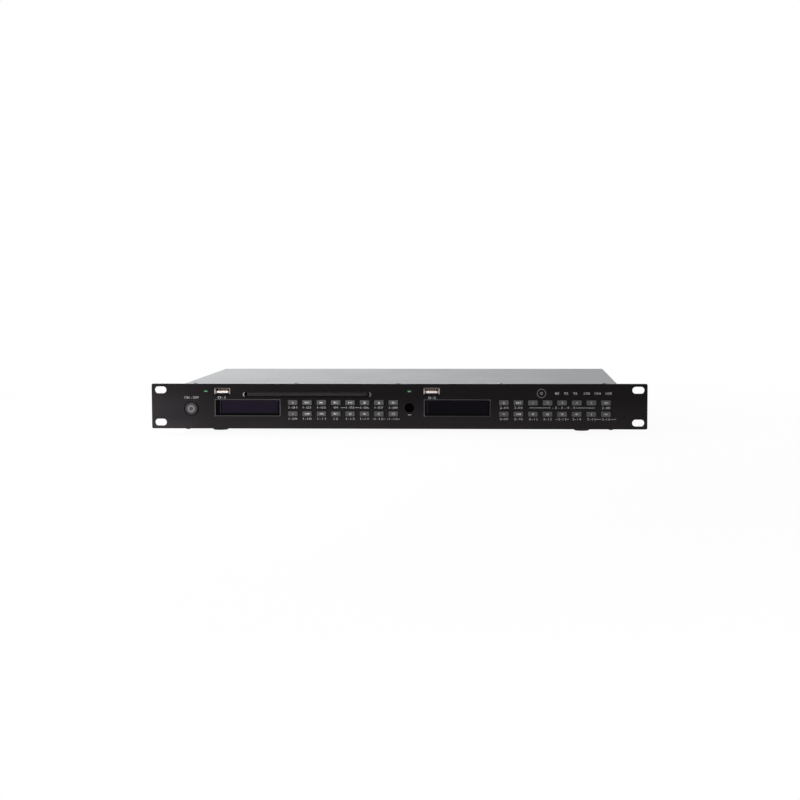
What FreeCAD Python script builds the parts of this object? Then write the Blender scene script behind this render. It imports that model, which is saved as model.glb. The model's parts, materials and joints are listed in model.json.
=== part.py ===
import FreeCAD, Part
import math
import os
import re

import Sketcher

# Rack-mounted player for discs and USB sticks, with a tuner beside it, one unit high.
# The frame's origin is the centre of the rack-hole pattern on the front panel's rear face:
# +X to the right as seen from the front, +Y to the back, +Z up. All sizes in millimetres.

# ---------------------------------------------------------------- driving dimensions
SIZES = {
    # Front panel and its rack slots.
    "panel_width": 482.6,
    "panel_height": 44.0,
    "panel_thick": 3.0,
    "panel_corner": 1.5,
    "rack_slot_edge": 8.75,
    "rack_rise": 31.75,
    "rack_slot_long": 11.7,
    "rack_slot_high": 6.7,
    # Ledge and lugs behind the panel, which hold the cover and the tray.
    "ledge_deep": 14.0,
    "ledge_thick": 1.2,
    "boss_r": 3.5,
    "boss_high": 4.0,
    "lug_wide": 9.0,
    "lug_deep": 7.5,
    "lug_high": 8.0,
    # Sheet-metal case.
    "case_margin": 7.4,
    "cover_depth": 272.0,
    "cover_drop": 1.5,
    "cover_gap": 0.3,
    "tray_rise": 0.5,
    "sheet": 1.0,
    "fold_radius": 1.5,
    "seat_gap": 0.1,
    "side_gap": 0.2,
    "lip_high": 8.5,
    # Screws.
    "screw_r": 1.45,
    "screw_long": 5.5,
    "head_r": 3.0,
    "head_high": 1.8,
    "thread_gap": 0.1,
    "hole_gap": 0.25,
    "top_screw_edge": 15.0,
    "top_screw_y": 7.0,
    "lug_screw_y": 4.0,
    "rear_screw_edge": 25.0,
    "side_screw_y": 80.0,
    "side_screw_pitch": 120.0,
    "side_screw_z": -8.0,
    # Feet.
    "foot_edge": 35.0,
    "foot_front_y": 37.0,
    "foot_back_edge": 37.0,
    "foot_r": 9.0,
    "foot_taper": 1.0,
    "foot_high": 5.1,
    "foot_dish_r": 5.0,
    "foot_dish_deep": 1.5,
    "foot_stem_r": 2.0,
    "foot_barb_r": 2.8,
    "foot_barb_high": 1.5,
    # Disc, and the slot it goes into.
    "disc_width": 120.0,
    "disc_thick": 1.2,
    "slot_shift": 58.4,
    "slot_drop": 2.8,
    "slot_long": 125.8,
    "slot_high": 4.9,
    "felt_gap": 0.3,
    "felt_thick": 1.5,
    "felt_slit": 2.0,
    "felt_margin": 0.9,
    # Display windows.
    "window_left_x": -146.8,
    "window_gap": 14.7,
    "window_drop": 13.1,
    "window_long": 63.4,
    "window_high": 15.4,
    "window_bevel": 0.6,
    "lens_fit": 0.2,
    "lens_recess": 0.8,
    "lens_flange": 1.0,
    "lens_flange_thick": 0.8,
    "module_gap": 0.2,
    "module_margin": 2.3,
    "module_rise": 0.9,
    "module_rim": 2.0,
    "module_dish": 1.0,
    # USB sockets.
    "usb_shift": 24.75,
    "usb_drop": 1.05,
    "usb_wide": 13.1,
    "usb_high": 5.7,
    "usb_skin": 0.4,
    "usb_flare": 1.0,
    "usb_flare_deep": 1.6,
    "usb_hole_gap": 0.3,
    "usb_tongue_wide": 11.1,
    "usb_tongue_high": 1.9,
    "usb_tongue_back": 1.2,
    "usb_tongue_drop": 0.5,
    # Status lights.
    "light_shift": 16.15,
    "light_rise": 0.7,
    "light_wide": 4.4,
    "light_high": 2.5,
    "light_fit": 0.1,
    "light_stand": 0.3,
    "light_shoulder": 0.8,
    "light_leg": 1.4,
    # Infrared receiver.
    "eye_gap": 15.52,
    "eye_rise": 0.15,
    "eye_r": 4.5,
    "eye_fit": 0.15,
    "eye_dome": 1.0,
    "eye_recess": 0.4,
    "eye_block": 10.0,
    # Keys.
    "disc_key_gap": 12.9,
    "tuner_key_gap": 13.6,
    "key_drop": 7.85,
    "key_pitch_x": 14.04,
    "key_pitch_z": 11.0,
    "key_wide": 9.3,
    "key_high": 4.9,
    "key_corner": 0.8,
    "key_bevel": 0.3,
    "key_stand": 1.2,
    "key_fit": 0.3,
    "key_rim": 0.8,
    "key_rim_thick": 1.0,
    "key_stem_wide": 3.0,
    "key_stem_high": 2.4,
    "key_travel": 0.5,
    "press_gap": 0.1,
    # Standby button.
    "standby_gap": 23.6,
    "standby_drop": 0.9,
    "standby_hole_r": 7.15,
    "standby_fit": 0.95,
    "standby_rim": 1.0,
    "standby_stand": 1.2,
    "standby_ring_r": 3.6,
    "standby_ring_wide": 1.6,
    "standby_ring_stand": 0.3,
    "standby_bevel": 0.6,
    # Circuit boards behind the panel, with their push switches.
    "board_stand": 8.0,
    "board_thick": 1.6,
    "board_edge": 5.5,
    "board_rise": 0.9,
    "board_low": 6.6,
    "tab_margin": 2.8,
    "switch_wide": 6.0,
    "switch_deep": 3.4,
    "plunger_wide": 3.0,
    "plunger_deep": 0.9,
    "stud_r": 3.0,
    "stud_drop": 6.65,
    "stud_bore": 6.0,
    # Disc mechanism.
    "mech_margin": 14.0,
    "mech_wall": 1.5,
    "mech_lead": 3.4,
    "mech_deep": 16.5,
    "mech_rise": 3.5,
    "mech_tail": 3.5,
    "front_wall_high": 4.0,
    "pillar_r": 4.0,
    "pillar_inset": 8.0,
    "pillar_front": 32.0,
    "pillar_back": 11.0,
    "shaft_r": 1.5,
    "pin_r": 1.0,
    "run_fit": 0.05,
    # Feed roller and its gears.
    "roller_lead": 8.0,
    "roller_r": 4.0,
    "roller_waist": 0.6,
    "roller_gap": 0.3,
    "gear_module": 0.5,
    "roller_teeth": 28,
    "pinion_teeth": 14,
    "gear_wide": 3.0,
    "gear_gap": 0.4,
    "gear_angle": 31.6,
    "gear_play": 0.08,
    "gear_pressure": 20.0,
    "gear_addendum": 0.9,
    "gear_dedendum": 1.25,
    "loader_motor_long": 20.0,
    "guide_gap": 1.2,
    "guide_thick": 1.5,
    "guide_margin": 3.0,
    "guide_deep": 15.0,
    # Turntable, clamp arm and laser sled.
    "spindle_lead": 3.0,
    "spindle_motor_r": 12.0,
    "spindle_motor_high": 9.0,
    "platter_r": 15.0,
    "platter_thick": 1.5,
    "hub_r": 7.4,
    "hub_high": 1.0,
    "hub_bevel": 0.5,
    "turntable_neck_r": 3.0,
    "clamp_lift": 1.7,
    "clamp_r": 14.0,
    "clamp_high": 1.8,
    "clamp_recess": 0.6,
    "clamp_recess_gap": 1.0,
    "arm_long": 64.0,
    "arm_thick": 1.2,
    "arm_wide": 24.0,
    "arm_bar_half": 38.0,
    "arm_bar_deep": 5.0,
    "arm_post_gap": 0.4,
    "arm_post_wide": 2.5,
    "arm_post_deep": 7.0,
    "sled_start": 25.0,
    "sled_half": 26.0,
    "sled_deep": 16.0,
    "sled_low": 2.0,
    "sled_high": 12.5,
    "sled_window_edge": 6.0,
    "lens_r": 3.0,
    "lens_high": 1.5,
    "rod_x": 22.0,
    "rod_rise": 5.0,
    "rod_post_half": 2.5,
    "rod_post_thick": 2.0,
    "rod_post_lead": 0.5,
    "lead_screw_x": 32.0,
    "lead_screw_r": 1.6,
    "lead_screw_gap": 0.5,
    "nut_half": 3.0,
    "nut_gap": 0.1,
    "sled_motor_long": 14.0,
    # Boards and sockets inside the case.
    "standoff_high": 6.0,
    "standoff_inset": 6.0,
    "main_gap": 34.0,
    "main_front_y": 62.0,
    "main_edge": 6.0,
    "main_back_gap": 2.0,
    "power_edge": 3.0,
    "power_gap": 4.0,
    "power_front_y": 50.0,
    "power_back_gap": 15.9,
    # Blocks and cylinders that stand in for the parts on the inner boards.
    "decoder_x": -35.0,
    "decoder_y": 40.0,
    "decoder_wide": 20.0,
    "control_x": 12.0,
    "control_y": 47.0,
    "control_wide": 14.0,
    "chip_high": 2.0,
    "shield_x": -35.0,
    "shield_y": 82.5,
    "shield_wide": 30.0,
    "shield_deep": 25.0,
    "shield_high": 4.0,
    "capacitor_x": 22.0,
    "capacitor_pitch": 12.0,
    "capacitor_y": 90.0,
    "capacitor_r": 4.0,
    "capacitor_high": 12.0,
    "transformer_y": 75.0,
    "transformer_wide": 30.0,
    "transformer_high": 24.0,
    "heat_sink_y": 33.0,
    "heat_sink_wide": 24.0,
    "heat_sink_deep": 6.0,
    "heat_sink_high": 22.0,
    "reservoir_y": 120.0,
    "reservoir_r": 8.0,
    "reservoir_high": 20.0,
    "fuse_gap": 20.0,
    "fuse_wide": 8.0,
    "fuse_deep": 20.0,
    "tuner_x": 150.0,
    "tuner_wide": 50.0,
    "tuner_deep": 45.0,
    "tuner_high": 16.0,
    "aerial_r": 4.6,
    "aerial_long": 11.0,
    "aerial_bore_r": 1.2,
    "jack_x": 50.0,
    "jack_pitch": 14.0,
    "jack_block_deep": 17.0,
    "jack_block_high": 24.0,
    "jack_r": 4.15,
    "jack_bore_r": 1.6,
    "jack_long": 9.0,
    "port_gap": 0.4,
    "inlet_x": -188.0,
    "inlet_z": -4.0,
    "inlet_wide": 26.8,
    "inlet_high": 19.6,
    "inlet_deep": 20.0,
    "inlet_flange": 2.2,
    "inlet_flange_thick": 2.5,
    "inlet_cavity_wide": 24.0,
    "inlet_cavity_high": 16.4,
    "inlet_cavity_deep": 16.0,
    "inlet_pin_x": 7.0,
    "inlet_pin_wide": 2.0,
    "inlet_pin_high": 4.0,
    "inlet_pin_step": 2.0,
    "inlet_pin_back": 2.0,
    "vent_x": -60.0,
    "vent_pitch": 8.0,
    "vent_wide": 3.0,
    "vent_high": 16.0,
    # Flat cables.
    "ribbon_wide": 14.0,
    "ribbon_thick": 0.4,
    "ribbon_bend": 5.0,
    "ribbon_plug_deep": 4.0,
    "ribbon_plug_high": 5.0,
    "ribbon_plug_rise": 0.5,
}

# ---------------------------------------------------------------- derived places
PLACES = {
    "panel_front": "-panel_thick",
    "panel_top": "panel_height / 2",
    "rack_span": "panel_width - 2 * rack_slot_edge",
    "cover_top": "panel_top - cover_drop",
    "cover_under": "cover_top - sheet",
    "tray_under": "tray_rise - panel_top",
    "tray_floor": "tray_under + sheet",
    "wall_top": "cover_under - fold_radius - seat_gap",
    "cover_side": "board_reach + case_margin",
    "tray_side": "cover_side - sheet - side_gap",
    "tray_inner": "tray_side - sheet",
    "rear_outer": "cover_depth - sheet - seat_gap",
    "rear_inner": "rear_outer - sheet",
    "lip_z": "cover_top - lip_high / 2 - sheet / 2",
    "bore_r": "screw_r + thread_gap",
    "hole_r": "screw_r + hole_gap",
    "lug_outer": "tray_inner - fold_radius",
    "lug_x": "lug_outer - lug_wide / 2",
    "ledge_top": "cover_under - seat_gap",
    "ledge_end": "cover_side - sheet - fold_radius - seat_gap",
    "ledge_under": "ledge_top - ledge_thick",
    "top_screw_pitch": "(cover_side - top_screw_edge) / 2",
    "rear_screw_x": "cover_side - rear_screw_edge",
    "foot_x": "cover_side - foot_edge",
    "foot_back_y": "cover_depth - foot_back_edge",
    "slot_x": "window_left_x + slot_shift",
    "standby_x": "window_left_x - window_long / 2 - standby_gap",
    "disc_key_x": "window_left_x + window_long / 2 + disc_key_gap",
    "eye_x": "disc_key_x + 7 * key_pitch_x + eye_gap",
    "window_right_x": "eye_x + window_gap + window_long / 2",
    "tuner_key_x": "window_right_x + window_long / 2 + tuner_key_gap",
    "usb_left_x": "window_left_x - usb_shift",
    "usb_right_x": "window_right_x - usb_shift",
    "light_left_x": "usb_left_x - light_shift",
    "light_right_x": "eye_x",
    "usb_z": "ledge_under - usb_high / 2 - usb_drop",
    "light_z": "usb_z + light_rise",
    "slot_z": "usb_z - slot_drop",
    "window_z": "slot_z - window_drop",
    "key_z": "slot_z - key_drop",
    "eye_z": "window_z + eye_rise",
    "standby_z": "window_z - standby_drop",
    "board_back": "board_stand + board_thick",
    "board_left": "standby_x - board_edge",
    "board_right": "tuner_key_x + 7 * key_pitch_x + switch_wide / 2 + board_rise",
    "board_reach": "max(-board_left; board_right)",
    "board_top": "slot_z - slot_high / 2 - board_rise",
    "tab_top": "usb_z + usb_high / 2",
    "board_bottom": "key_z - key_pitch_z - switch_wide / 2 - board_low",
    "stud_z": "key_z - key_pitch_z - stud_drop",
    "stem_end": "board_stand - switch_deep - plunger_deep - key_travel - press_gap",
    "rim_front": "seat_gap",
    "rim_back": "rim_front + key_rim_thick",
    "usb_half": "usb_wide / 2",
    "lens_back": "seat_gap + lens_flange_thick",
    "module_long": "window_long + 2 * module_margin",
    "module_high": "window_high + 2 * module_rise",
    "disc_under": "slot_z - disc_thick / 2",
    "mech_half": "disc_width / 2 + mech_margin",
    "mech_front": "board_back + mech_lead",
    "mech_floor": "slot_z - mech_deep",
    "mech_under": "mech_floor - mech_wall",
    "mech_top": "slot_z + mech_rise",
    "roller_y": "mech_front + roller_lead",
    "roller_z": "disc_under - roller_gap - roller_r",
    "spindle_y": "roller_y + disc_width / 2 + spindle_lead",
    "mech_back": "arm_pivot_y + arm_post_deep / 2 + mech_tail",
    "gear_x": "mech_wall + gear_gap - mech_half",
    "bracket_x": "gear_x + gear_wide + gear_gap",
    "gear_centres": "gear_module * (roller_teeth + pinion_teeth) / 2 + gear_play / 2",
    "pinion_y": "roller_y + gear_centres * cos(gear_angle)",
    "pinion_z": "roller_z - gear_centres * sin(gear_angle)",
    "loader_motor_r": "pinion_z - mech_floor - seat_gap",
    "arm_pivot_y": "spindle_y + arm_long",
    "arm_pivot_z": "disc_under + disc_thick + clamp_lift + clamp_high + arm_thick / 2",
    "sled_y": "spindle_y + sled_start",
    "rod_z": "mech_floor + rod_rise",
    "rod_post_y": "spindle_y + spindle_motor_r + rod_post_lead",
    "sled_motor_r": "rod_rise - seat_gap",
    "sled_motor_back": "rod_post_y - lead_screw_gap",
    "standoff_top": "tray_floor + standoff_high",
    "deck": "standoff_top + board_thick",
    "main_left": "slot_x + mech_half + main_gap",
    "main_right": "tray_inner - main_edge",
    "main_back": "rear_inner - main_back_gap",
    "power_left": "power_edge - tray_inner",
    "power_right": "slot_x - mech_half - power_gap",
    "power_back": "rear_outer - inlet_deep - power_back_gap",
}


def formula(text):
    """Spell a formula out: derived places by their own formulas, sizes by their sheet cells."""
    def spell(match):
        word = match.group(0)
        if word in PLACES:
            return "(" + formula(PLACES[word]) + ")"
        return "dims." + word if word in SIZES else word
    return re.sub(r"[A-Za-z_]\w*", spell, text)


def number(text):
    """The present value of a formula."""
    return float(dims.evalExpression(formula(text)))


def bind(item, **formulas):
    """Bind properties of an object to formulas."""
    for name, text in formulas.items():
        item.setExpression(name, formula(text))
    return item


def put(item, x="0", y="0", z="0"):
    """Bind an object's place to formulas."""
    for axis, text in (("x", x), ("y", y), ("z", z)):
        item.setExpression("Placement.Base." + axis, formula(text))
    return item


# ---------------------------------------------------------------- sketches and features
PLANES = {"front": "XZ_Plane", "top": "XY_Plane", "side": "YZ_Plane"}


def origin_feature(body, role):
    return [item for item in body.Origin.OriginFeatures if item.Role == role][0]


def sketch_on(body, name, view, level):
    """A sketch seen from the front, top or side, at a level along the row's own axis.

    The front view's sketch has X and Z as its axes, the top view's X and Y, the side view's Y and Z.
    """
    sketch = body.newObject("Sketcher::SketchObject", name)
    sketch.AttachmentSupport = [(origin_feature(body, PLANES[view]), "")]
    sketch.MapMode = "FlatFace"
    offset = "-({})".format(level) if view == "front" else level
    sketch.setExpression("AttachmentOffset.Base.z", formula(offset))
    return sketch


def hold(sketch, kind, geometry, point, text):
    """Hold one coordinate of a sketch point at a formula, measured from the origin."""
    value = number(text)
    spot = sketch.addConstraint(Sketcher.Constraint(kind, -1, 1, geometry, point, value))
    sketch.setExpression("Constraints[{}]".format(spot), formula(text))


def polygon(sketch, corners):
    """A closed outline with each corner held at (across, up) formulas."""
    spots = [FreeCAD.Vector(number(across), number(up), 0) for across, up in corners]
    first = sketch.GeometryCount
    for here, there in zip(spots, spots[1:] + spots[:1]):
        sketch.addGeometry(Part.LineSegment(here, there), False)
    for step, (across, up) in enumerate(corners):
        before = first + (step - 1) % len(corners)
        sketch.addConstraint(Sketcher.Constraint("Coincident", before, 2, first + step, 1))
        hold(sketch, "DistanceX", first + step, 1, across)
        hold(sketch, "DistanceY", first + step, 1, up)
    return sketch


def rectangle(sketch, left, right, low, high):
    return polygon(sketch, [(left, low), (right, low), (right, high), (left, high)])


def centred(sketch, across, up, wide, high):
    """A rectangle about a centre."""
    half = "({}) / 2"
    wide, high = half.format(wide), half.format(high)
    return rectangle(sketch, across + " - " + wide, across + " + " + wide,
                     up + " - " + high, up + " + " + high)


def circle(sketch, across, up, radius):
    centre = FreeCAD.Vector(number(across), number(up), 0)
    round_edge = Part.Circle(centre, FreeCAD.Vector(0, 0, 1), number(radius))
    geometry = sketch.addGeometry(round_edge, False)
    hold(sketch, "DistanceX", geometry, 3, across)
    hold(sketch, "DistanceY", geometry, 3, up)
    spot = sketch.addConstraint(Sketcher.Constraint("Radius", geometry, number(radius)))
    sketch.setExpression("Constraints[{}]".format(spot), formula(radius))
    return sketch


def obround(sketch, across, up, wide, high):
    """A slot with half-round ends."""
    radius = "({}) / 2".format(high)
    ends = ["{} - ({}) / 2 + {}".format(across, wide, radius),
            "{} + ({}) / 2 - {}".format(across, wide, radius)]
    top, low = "{} + {}".format(up, radius), "{} - {}".format(up, radius)
    first = sketch.GeometryCount
    for end, start in zip(ends, (math.pi / 2, -math.pi / 2)):
        centre = FreeCAD.Vector(number(end), number(up), 0)
        ring = Part.Circle(centre, FreeCAD.Vector(0, 0, 1), number(radius))
        sketch.addGeometry(Part.ArcOfCircle(ring, start, start + math.pi), False)
    corners = [[FreeCAD.Vector(number(end), number(edge), 0) for end in ends] for edge in (low, top)]
    sketch.addGeometry(Part.LineSegment(*corners[0]), False)
    sketch.addGeometry(Part.LineSegment(*corners[1]), False)
    left, right, low_line, top_line = range(first, first + 4)
    for arc, end, start_edge in ((left, ends[0], top), (right, ends[1], low)):
        hold(sketch, "DistanceX", arc, 3, end)
        hold(sketch, "DistanceY", arc, 3, up)
        hold(sketch, "DistanceX", arc, 1, end)
        hold(sketch, "DistanceY", arc, 1, start_edge)
        hold(sketch, "DistanceX", arc, 2, end)
    for ends_met in ((left, 2, low_line, 1), (low_line, 2, right, 1),
                     (right, 2, top_line, 2), (top_line, 1, left, 1)):
        sketch.addConstraint(Sketcher.Constraint("Coincident", *ends_met))
    return sketch


def new_body(label):
    return DOC.addObject("PartDesign::Body", label)


def pad(body, sketch, length, towards=1):
    """Raise a sketch along the row's own axis, up it or down it."""
    view_flips = origin_feature(body, "XZ_Plane") == sketch.AttachmentSupport[0][0]
    feature = body.newObject("PartDesign::Pad", sketch.Name + "_pad")
    feature.Profile = sketch
    feature.Reversed = (towards > 0) == view_flips
    return bind(feature, Length=length)


def pocket(body, sketch, length, towards=1):
    """Cut a sketch along the row's own axis, up it or down it."""
    view_flips = origin_feature(body, "XZ_Plane") == sketch.AttachmentSupport[0][0]
    feature = body.newObject("PartDesign::Pocket", sketch.Name + "_cut")
    feature.Profile = sketch
    feature.Reversed = (towards > 0) != view_flips
    return bind(feature, Length=length)


def spread(body, feature, *rows):
    """Repeat a feature along its sketch's axes: each row is (axis, spacing, count)."""
    sketch = feature.Profile[0]
    pattern = body.newObject("PartDesign::LinearPattern", feature.Name + "_row")
    pattern.Originals = [feature]
    for (axis, spacing, count), tail in zip(rows, ("", "2")):
        setattr(pattern, "Direction" + tail, (sketch, [axis]))
        setattr(pattern, "Occurrences" + tail, count)
        pattern.setExpression("Length" + tail, formula("{} * {}".format(count - 1, spacing)))
    if len(rows) < 2:
        pattern.Occurrences2 = 1
    body.Tip = pattern
    return pattern


def revolve(body, name, corners, axis="V_Axis", view="front"):
    """Turn a half profile about one of its sketch's axes."""
    sketch = polygon(sketch_on(body, name, view, "0"), corners)
    feature = body.newObject("PartDesign::Revolution", name + "_turn")
    feature.Profile = sketch
    feature.ReferenceAxis = (sketch, [axis])
    feature.Angle = 360
    return feature


def dress(body, kind, name, size, wanted):
    """Fillet or chamfer the edges of the body's tip that a test picks out."""
    DOC.recompute()
    base = body.Tip
    names = ["Edge{}".format(place + 1) for place, edge in enumerate(base.Shape.Edges) if wanted(edge)]
    if not names:
        raise RuntimeError("no edges for " + name)
    feature = body.newObject("PartDesign::" + kind, name)
    feature.Base = (base, names)
    return bind(feature, **{"Radius" if kind == "Fillet" else "Size": size})


def runs_along(edge, axis):
    """Whether an edge is a straight run along an axis."""
    size = edge.BoundBox
    spans = {"x": size.XLength, "y": size.YLength, "z": size.ZLength}
    return spans.pop(axis) > 0.01 and max(spans.values()) < 0.001


def lies_at(edge, axis, text):
    """Whether all of an edge lies at one level of an axis."""
    size = edge.BoundBox
    low, high = {"x": (size.XMin, size.XMax), "y": (size.YMin, size.YMax),
                 "z": (size.ZMin, size.ZMax)}[axis]
    level = number(text)
    return abs(low - level) < 0.001 and abs(high - level) < 0.001


# ---------------------------------------------------------------- copies and groups
TURNS = {"up": (0, 0, 1, 0), "down": (1, 0, 0, 180), "back": (1, 0, 0, -90), "front": (1, 0, 0, 90),
         "right": (0, 1, 0, 90), "left": (0, 1, 0, -90)}


def copy_of(source, name, x="0", y="0", z="0", facing="up"):
    """A linked copy of a shape, turned so that its +Z faces the named way."""
    link = DOC.addObject("App::Link", name)
    link.LinkedObject = source
    along_x, along_y, along_z, angle = TURNS[facing]
    turn = FreeCAD.Rotation(FreeCAD.Vector(along_x, along_y, along_z), angle)
    link.Placement = FreeCAD.Placement(FreeCAD.Vector(), turn)
    return put(link, x, y, z)


def group(label, pieces):
    """One sub-part that holds several separate solids."""
    compound = DOC.addObject("Part::Compound", label)
    compound.Links = pieces
    return compound


def block(name, left, right, front, back, low, high):
    """A box between six formulas."""
    box = DOC.addObject("Part::Box", name)
    gap = "({}) - ({})"
    bind(box, Length=gap.format(right, left), Width=gap.format(back, front), Height=gap.format(high, low))
    return put(box, left, front, low)


def drum(name, radius, length, x, y, z, facing="up"):
    """A cylinder that stands on a point and points the named way."""
    cylinder = DOC.addObject("Part::Cylinder", name)
    along_x, along_y, along_z, angle = TURNS[facing]
    turn = FreeCAD.Rotation(FreeCAD.Vector(along_x, along_y, along_z), angle)
    cylinder.Placement = FreeCAD.Placement(FreeCAD.Vector(), turn)
    bind(cylinder, Radius=radius, Height=length)
    return put(cylinder, x, y, z)


def fuse(name, pieces):
    joined = DOC.addObject("Part::MultiFuse", name)
    joined.Shapes = pieces
    return joined


def cut(name, base, tool):
    rest = DOC.addObject("Part::Cut", name)
    rest.Base = base
    rest.Tool = tool
    return rest


# ---------------------------------------------------------------- places of what repeats
DISC_KEYS = (("volume_up", "next", "skip_forward", "folder_up", "play_pause", "stop", "eject", "mode"),
             ("volume_down", "previous", "skip_back", "folder_down", "program", "mute", "repeat",
              "display"))
TUNER_KEYS = (("volume_up", "next", "preset_1", "preset_2", "preset_3", "preset_4", "preset_5", "mode"),
              ("volume_down", "previous", "enter", "menu", "preset", "mute", "info", "auto_scan"))
KEY_COLUMNS = len(DISC_KEYS[0])
KEY_ROWS = len(DISC_KEYS)

# Studs for the boards, each beside or below something it has to clear.
LEFT_STUDS = ("standby_x + standby_hole_r + 2 * stud_r",
              "disc_key_x - key_pitch_x / 2",
              "disc_key_x + 3.5 * key_pitch_x",
              "disc_key_x + 7.5 * key_pitch_x")
RIGHT_STUDS = ("window_right_x - window_long / 2",
               "tuner_key_x - key_pitch_x / 2",
               "tuner_key_x + 3.5 * key_pitch_x",
               "tuner_key_x + 6.5 * key_pitch_x")
TOP_SCREWS = [str(step) + " * top_screw_pitch" for step in (-2, -1, 0, 1, 2)]
REAR_SCREWS = ("-rear_screw_x", "0", "rear_screw_x")
VENT_COUNT = 8
PILLARS = [(across, along)
           for across in ("slot_x - mech_half + pillar_inset", "slot_x + mech_half - pillar_inset")
           for along in ("mech_front + pillar_front", "mech_back - pillar_back")]
MAIN_STANDOFFS = [(across, along)
                  for across in ("main_left + standoff_inset", "main_right - standoff_inset")
                  for along in ("main_front_y + standoff_inset",
                                "rear_inner - jack_block_deep - standoff_inset")]
POWER_STANDOFFS = [(across, along)
                   for across in ("power_left + standoff_inset", "power_right - standoff_inset")
                   for along in ("power_front_y + standoff_inset", "power_back - standoff_inset")]
JACKS = [(across, up)
         for across in ("jack_x - jack_pitch / 2", "jack_x + jack_pitch / 2")
         for up in ("deck + (jack_block_high - jack_pitch) / 2", "deck + (jack_block_high + jack_pitch) / 2")]


# ---------------------------------------------------------------- front panel
def front_panel():
    body = new_body("front_panel")
    plate = rectangle(sketch_on(body, "plate", "front", "0"),
                      "-panel_width / 2", "panel_width / 2", "-panel_top", "panel_top")
    pad(body, plate, "panel_thick", -1)
    dress(body, "Fillet", "plate_corners", "panel_corner", lambda edge: runs_along(edge, "y"))
    rack = obround(sketch_on(body, "rack_slot", "front", "0"),
                   "-rack_span / 2", "-rack_rise / 2", "rack_slot_long", "rack_slot_high")
    spread(body, pocket(body, rack, "panel_thick", -1),
           ("H_Axis", "rack_span", 2), ("V_Axis", "rack_rise", 2))
    slot = obround(sketch_on(body, "disc_slot", "front", "0"),
                   "slot_x", "slot_z", "slot_long", "slot_high")
    pocket(body, slot, "panel_thick", -1)
    panel_windows(body)
    panel_small_holes(body)
    for name, start in (("disc_keys", "disc_key_x"), ("tuner_keys", "tuner_key_x")):
        hole = centred(sketch_on(body, name, "front", "0"), start, "key_z - key_pitch_z",
                       "key_wide + 2 * key_fit", "key_high + 2 * key_fit")
        spread(body, pocket(body, hole, "panel_thick", -1),
               ("H_Axis", "key_pitch_x", KEY_COLUMNS), ("V_Axis", "key_pitch_z", KEY_ROWS))
    panel_fixings(body)
    return body


def panel_windows(body):
    """Two display windows, bevelled round their front edge."""
    sketch = sketch_on(body, "windows", "front", "0")
    for across in ("window_left_x", "window_right_x"):
        centred(sketch, across, "window_z", "window_long", "window_high")
    pocket(body, sketch, "panel_thick", -1)

    def rim(edge):
        middle = edge.CenterOfMass
        in_row = abs(middle.z - number("window_z")) < number("window_high / 2 + 0.01")
        near = min(abs(middle.x - number(place)) for place in ("window_left_x", "window_right_x"))
        return lies_at(edge, "y", "panel_front") and in_row and near < number("window_long / 2 + 0.01")
    dress(body, "Chamfer", "window_bevels", "window_bevel", rim)


def panel_small_holes(body):
    """Holes for the USB sockets, the lights, the receiver and the standby button."""
    sketch = sketch_on(body, "small_holes", "front", "0")
    for across in ("usb_left_x", "usb_right_x"):
        centred(sketch, across, "usb_z", "usb_wide + 2 * usb_flare + 2 * usb_hole_gap",
                "usb_high + 2 * usb_flare + 2 * usb_hole_gap")
    for across in ("light_left_x", "light_right_x"):
        centred(sketch, across, "light_z", "light_wide", "light_high")
    circle(sketch, "eye_x", "eye_z", "eye_r")
    circle(sketch, "standby_x", "standby_z", "standby_hole_r")
    pocket(body, sketch, "panel_thick", -1)


def panel_fixings(body):
    """Ledge, bosses, lugs and studs on the rear face, with their screw holes."""
    ledge = rectangle(sketch_on(body, "ledge", "front", "0"),
                      "-ledge_end", "ledge_end", "ledge_under", "ledge_top")
    pad(body, ledge, "ledge_deep")
    lugs = sketch_on(body, "lugs", "front", "0")
    for inner, outer in (("lug_outer - lug_wide", "lug_outer"), ("-lug_outer", "lug_wide - lug_outer")):
        rectangle(lugs, inner, outer, "tray_floor + seat_gap", "tray_floor + seat_gap + lug_high")
    pad(body, lugs, "lug_deep")
    studs = sketch_on(body, "studs", "front", "0")
    bores = sketch_on(body, "stud_bores", "front", "board_stand")
    for across in LEFT_STUDS + RIGHT_STUDS:
        circle(studs, across, "stud_z", "stud_r")
        circle(bores, across, "stud_z", "bore_r")
    pad(body, studs, "board_stand")
    pocket(body, bores, "stud_bore", -1)
    bosses = sketch_on(body, "bosses", "top", "ledge_under")
    boss_bores = sketch_on(body, "boss_bores", "top", "ledge_top")
    for across in TOP_SCREWS:
        circle(bosses, across, "top_screw_y", "boss_r")
        circle(boss_bores, across, "top_screw_y", "bore_r")
    pad(body, bosses, "boss_high", -1)
    pocket(body, boss_bores, "ledge_thick + boss_high - seat_gap", -1)
    lug_bores = sketch_on(body, "lug_bores", "top", "tray_floor + seat_gap")
    for across in ("-lug_x", "lug_x"):
        circle(lug_bores, across, "lug_screw_y", "bore_r")
    pocket(body, lug_bores, "lug_high - sheet", 1)


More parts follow.
